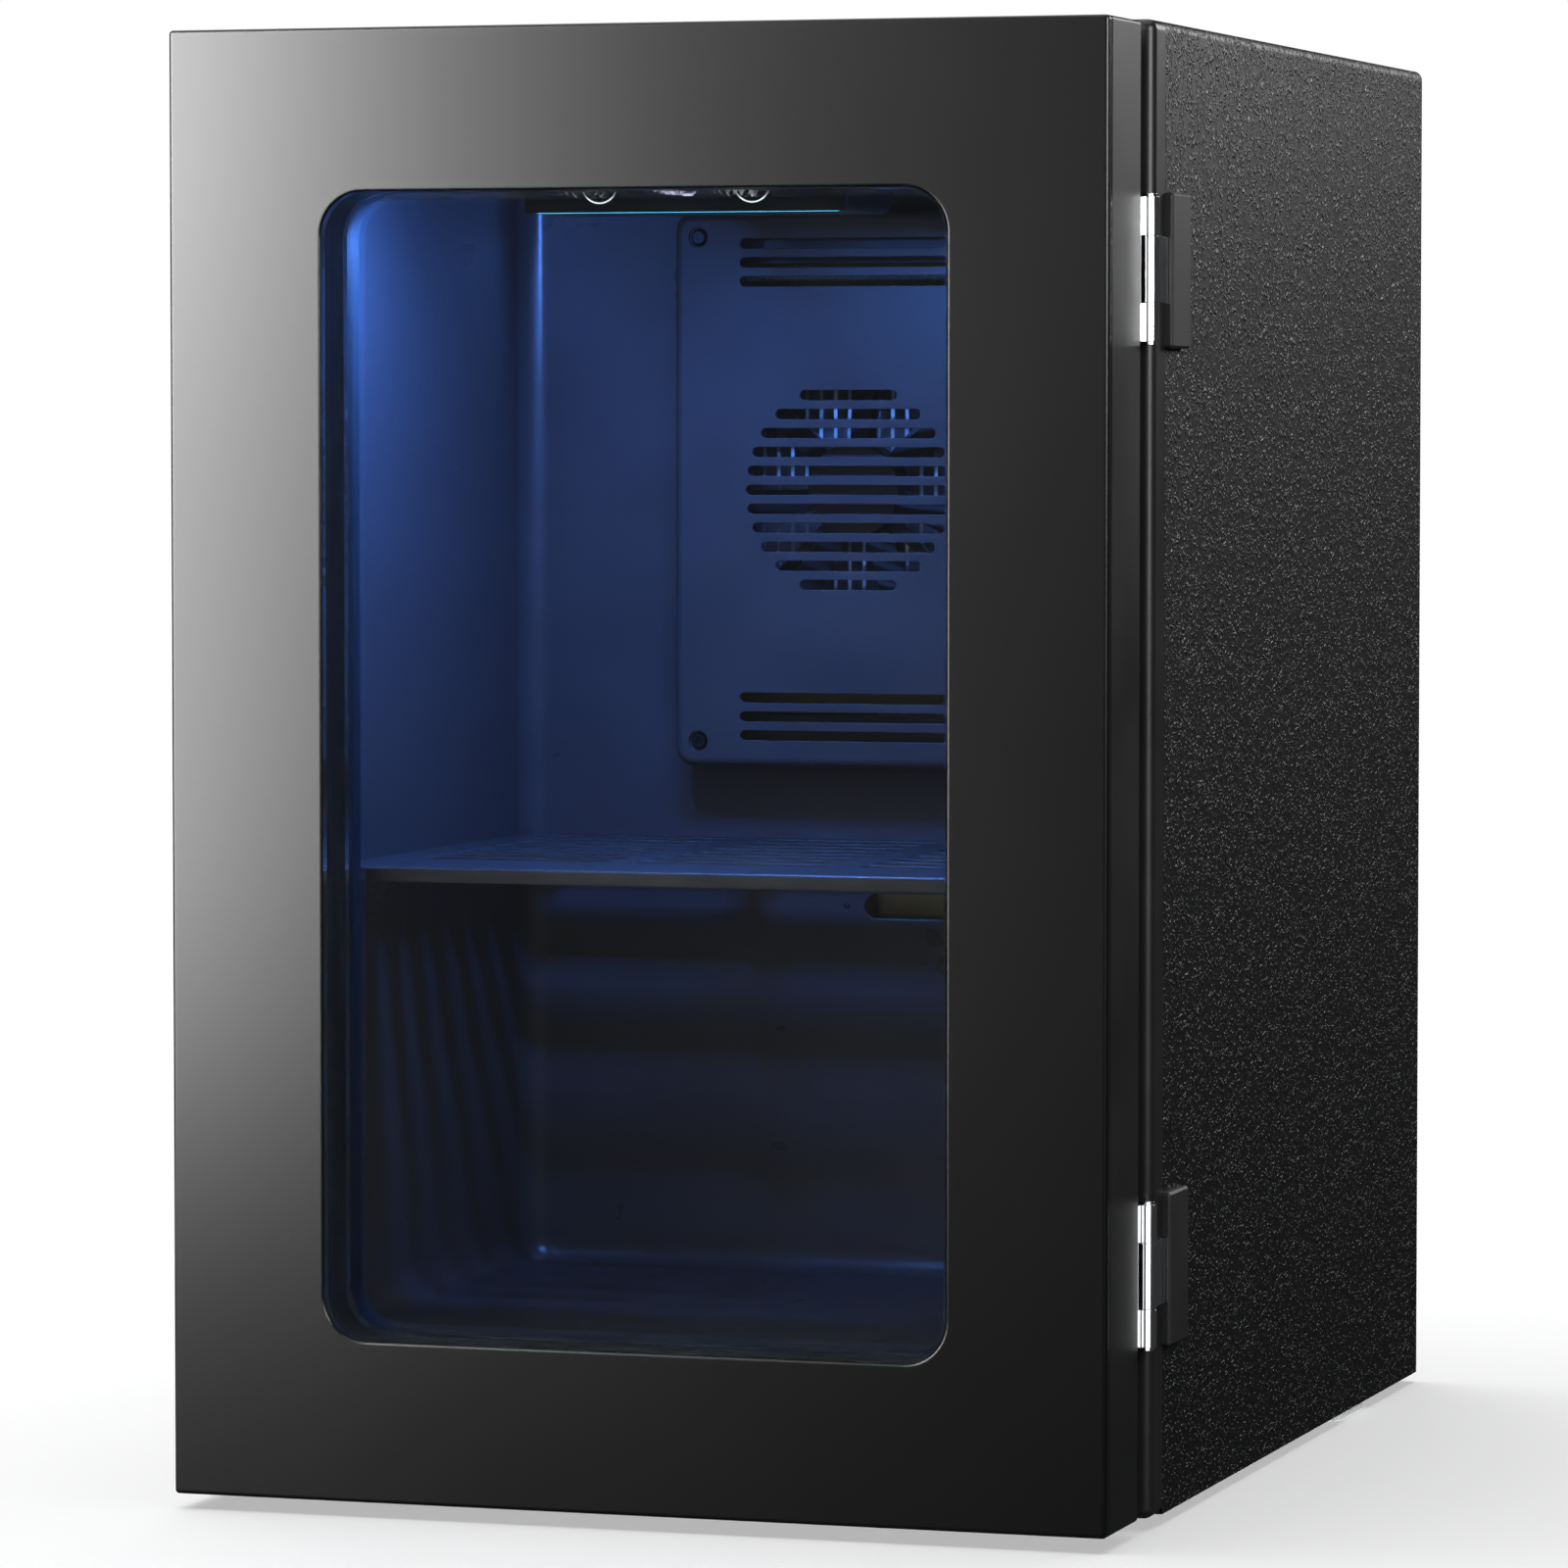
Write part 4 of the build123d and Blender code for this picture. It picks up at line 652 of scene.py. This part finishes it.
# A broad card of light at the front is mirrored by the round barrels alone.
hinge_card = softbox("hinge_card", (0.55, -1.30, 0.35), (0.144, -0.155, 0.22), 1.7, 1.1, 9.0)
only_chrome = bpy.data.collections.new("only_chrome")
for name in chromed:
    only_chrome.objects.link(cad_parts[name])
hinge_card.light_linking.receiver_collection = only_chrome
dress(moulded("cover_plastic", (0.007, 0.007, 0.007), 0.46, 0.00002, 1400.0, edge=0.0003),
      "upper_hinge_cover", "lower_hinge_cover")


# ---- Door shell ----
# The front is a pressed panel with a satin black bake coat, set on a moulded black body
# that carries the hinges. A shallow seam runs all round between the two.

door_paint = finish("door_paint", (0.0009, 0.0009, 0.0009), 0.235)
paint_place = over(door_paint)
peel = noise(door_paint, paint_place, 420.0, detail=2.0)
haze = noise(door_paint, paint_place, 6.0, detail=3.0)
shade(door_paint, haze, (0.0007, 0.0007, 0.0007), (0.0011, 0.0011, 0.0011))
polish(door_paint, haze, 0.228, 0.242)
relief(door_paint, peel, 0.0000012, under=eased(door_paint, 0.0007))
dress(door_paint, "door_front_panel")
dress(moulded("door_plastic", (0.003, 0.003, 0.003), 0.40, 0.00001, 1200.0, edge=0.0004), "door_body")


# ---- Window ----
# Two 5 mm panes of clear toughened glass with polished edges, held apart by a clear acrylic
# frame and a band of clear silicone, with a second acrylic frame as the retainer behind.

glass = finish("clear_pane", (0.96, 0.98, 0.975), 0.0)
shader_of(glass).inputs["Transmission Weight"].default_value = 1.0
shader_of(glass).inputs["IOR"].default_value = 1.5
glass_smear = noise(glass, over(glass), 14.0, detail=3.0)
polish(glass, glass_smear, 0.0, 0.006)
dress(glass, "outer_glass", "inner_glass")

clear_bar = finish("clear_bar", (0.08, 0.10, 0.12), 0.06)
shader_of(clear_bar).inputs["Alpha"].default_value = 0.10
bar_lines = noise(clear_bar, over(clear_bar), 120.0, detail=2.0)
shade(clear_bar, bar_lines, (0.06, 0.08, 0.10), (0.11, 0.13, 0.15))
polish(clear_bar, bar_lines, 0.04, 0.10)
relief(clear_bar, bar_lines, 0.00001)
dress(clear_bar, "front_spacer", "pane_seal", "rear_retainer")


# ---- Door seal ----
# A magnetic gasket extruded in soft black vinyl and welded at the corners: a flat foot in
# the door, a folded bellows and a square bulb that holds the magnet strip.

gasket_low, gasket_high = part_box("door_gasket")
gasket_mid = (gasket_low + gasket_high) / 2
gasket_span = gasket_high - gasket_low
gasket_w = 0.011
foot_t = 0.0018
stem_w = 0.0050
stem_start = 0.0016
fold_w = 0.0092
fold_start = 0.0029
fold_t = 0.0012
bulb_start = 0.0053
bulb_t = gasket_span.y - bulb_start
stem_t = bulb_t - 0.0008


def seal_ring(name, width, start, rise):
    """One closed layer of the extrusion, centred on the seal's line and standing off the door."""
    slim = gasket_w - width
    bpy.ops.object.select_all(action="DESELECT")
    bpy.ops.mesh.primitive_plane_add(size=1.0)
    layer = bpy.context.object
    layer.name = name
    layer.scale = (gasket_span.x - slim, gasket_span.z - slim, 1.0)
    bpy.ops.object.transform_apply(location=False, rotation=False, scale=True)
    bpy.ops.object.mode_set(mode="EDIT")
    bpy.ops.mesh.select_all(action="SELECT")
    bpy.ops.mesh.inset(thickness=width, depth=0.0)
    bpy.ops.mesh.delete(type="FACE")
    bpy.ops.mesh.select_all(action="SELECT")
    bpy.ops.mesh.extrude_region_move(TRANSFORM_OT_translate={"value": (0.0, 0.0, rise)})
    bpy.ops.mesh.select_all(action="SELECT")
    bpy.ops.mesh.normals_make_consistent(inside=False)
    bpy.ops.object.mode_set(mode="OBJECT")
    layer.rotation_euler = (math.radians(-90.0), 0.0, 0.0)
    layer.location = (gasket_mid.x, gasket_low.y + start, gasket_mid.z)
    bpy.ops.object.transform_apply(location=True, rotation=True, scale=True)
    rounding = layer.modifiers.new("soft edges", "BEVEL")
    rounding.width = 0.3 * rise
    rounding.segments = 3
    rounding.limit_method = "ANGLE"
    rounding.angle_limit = math.radians(50.0)
    bpy.ops.object.modifier_apply(modifier=rounding.name)
    return layer


gasket_vinyl = rubbery("gasket_vinyl", (0.016, 0.016, 0.016), 0.5)
layers = [
    seal_ring("door_gasket_foot", gasket_w, 0.0, foot_t),
    seal_ring("door_gasket_stem", stem_w, stem_start, stem_t),
    seal_ring("door_gasket_fold", fold_w, fold_start, fold_t),
    seal_ring("door_gasket_bulb", gasket_w, bulb_start, bulb_t),
]
bpy.ops.object.select_all(action="DESELECT")
for layer in layers:
    layer.select_set(True)
gasket = layers[0]
bpy.context.view_layer.objects.active = gasket
bpy.ops.object.join()
gasket.name = "door_gasket_bellows"
gasket.data.materials.append(gasket_vinyl)
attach(gasket, "door")
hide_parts("door_gasket")

dress(rubbery("magnet_rubber", (0.04, 0.035, 0.035), 0.6), "gasket_magnets")
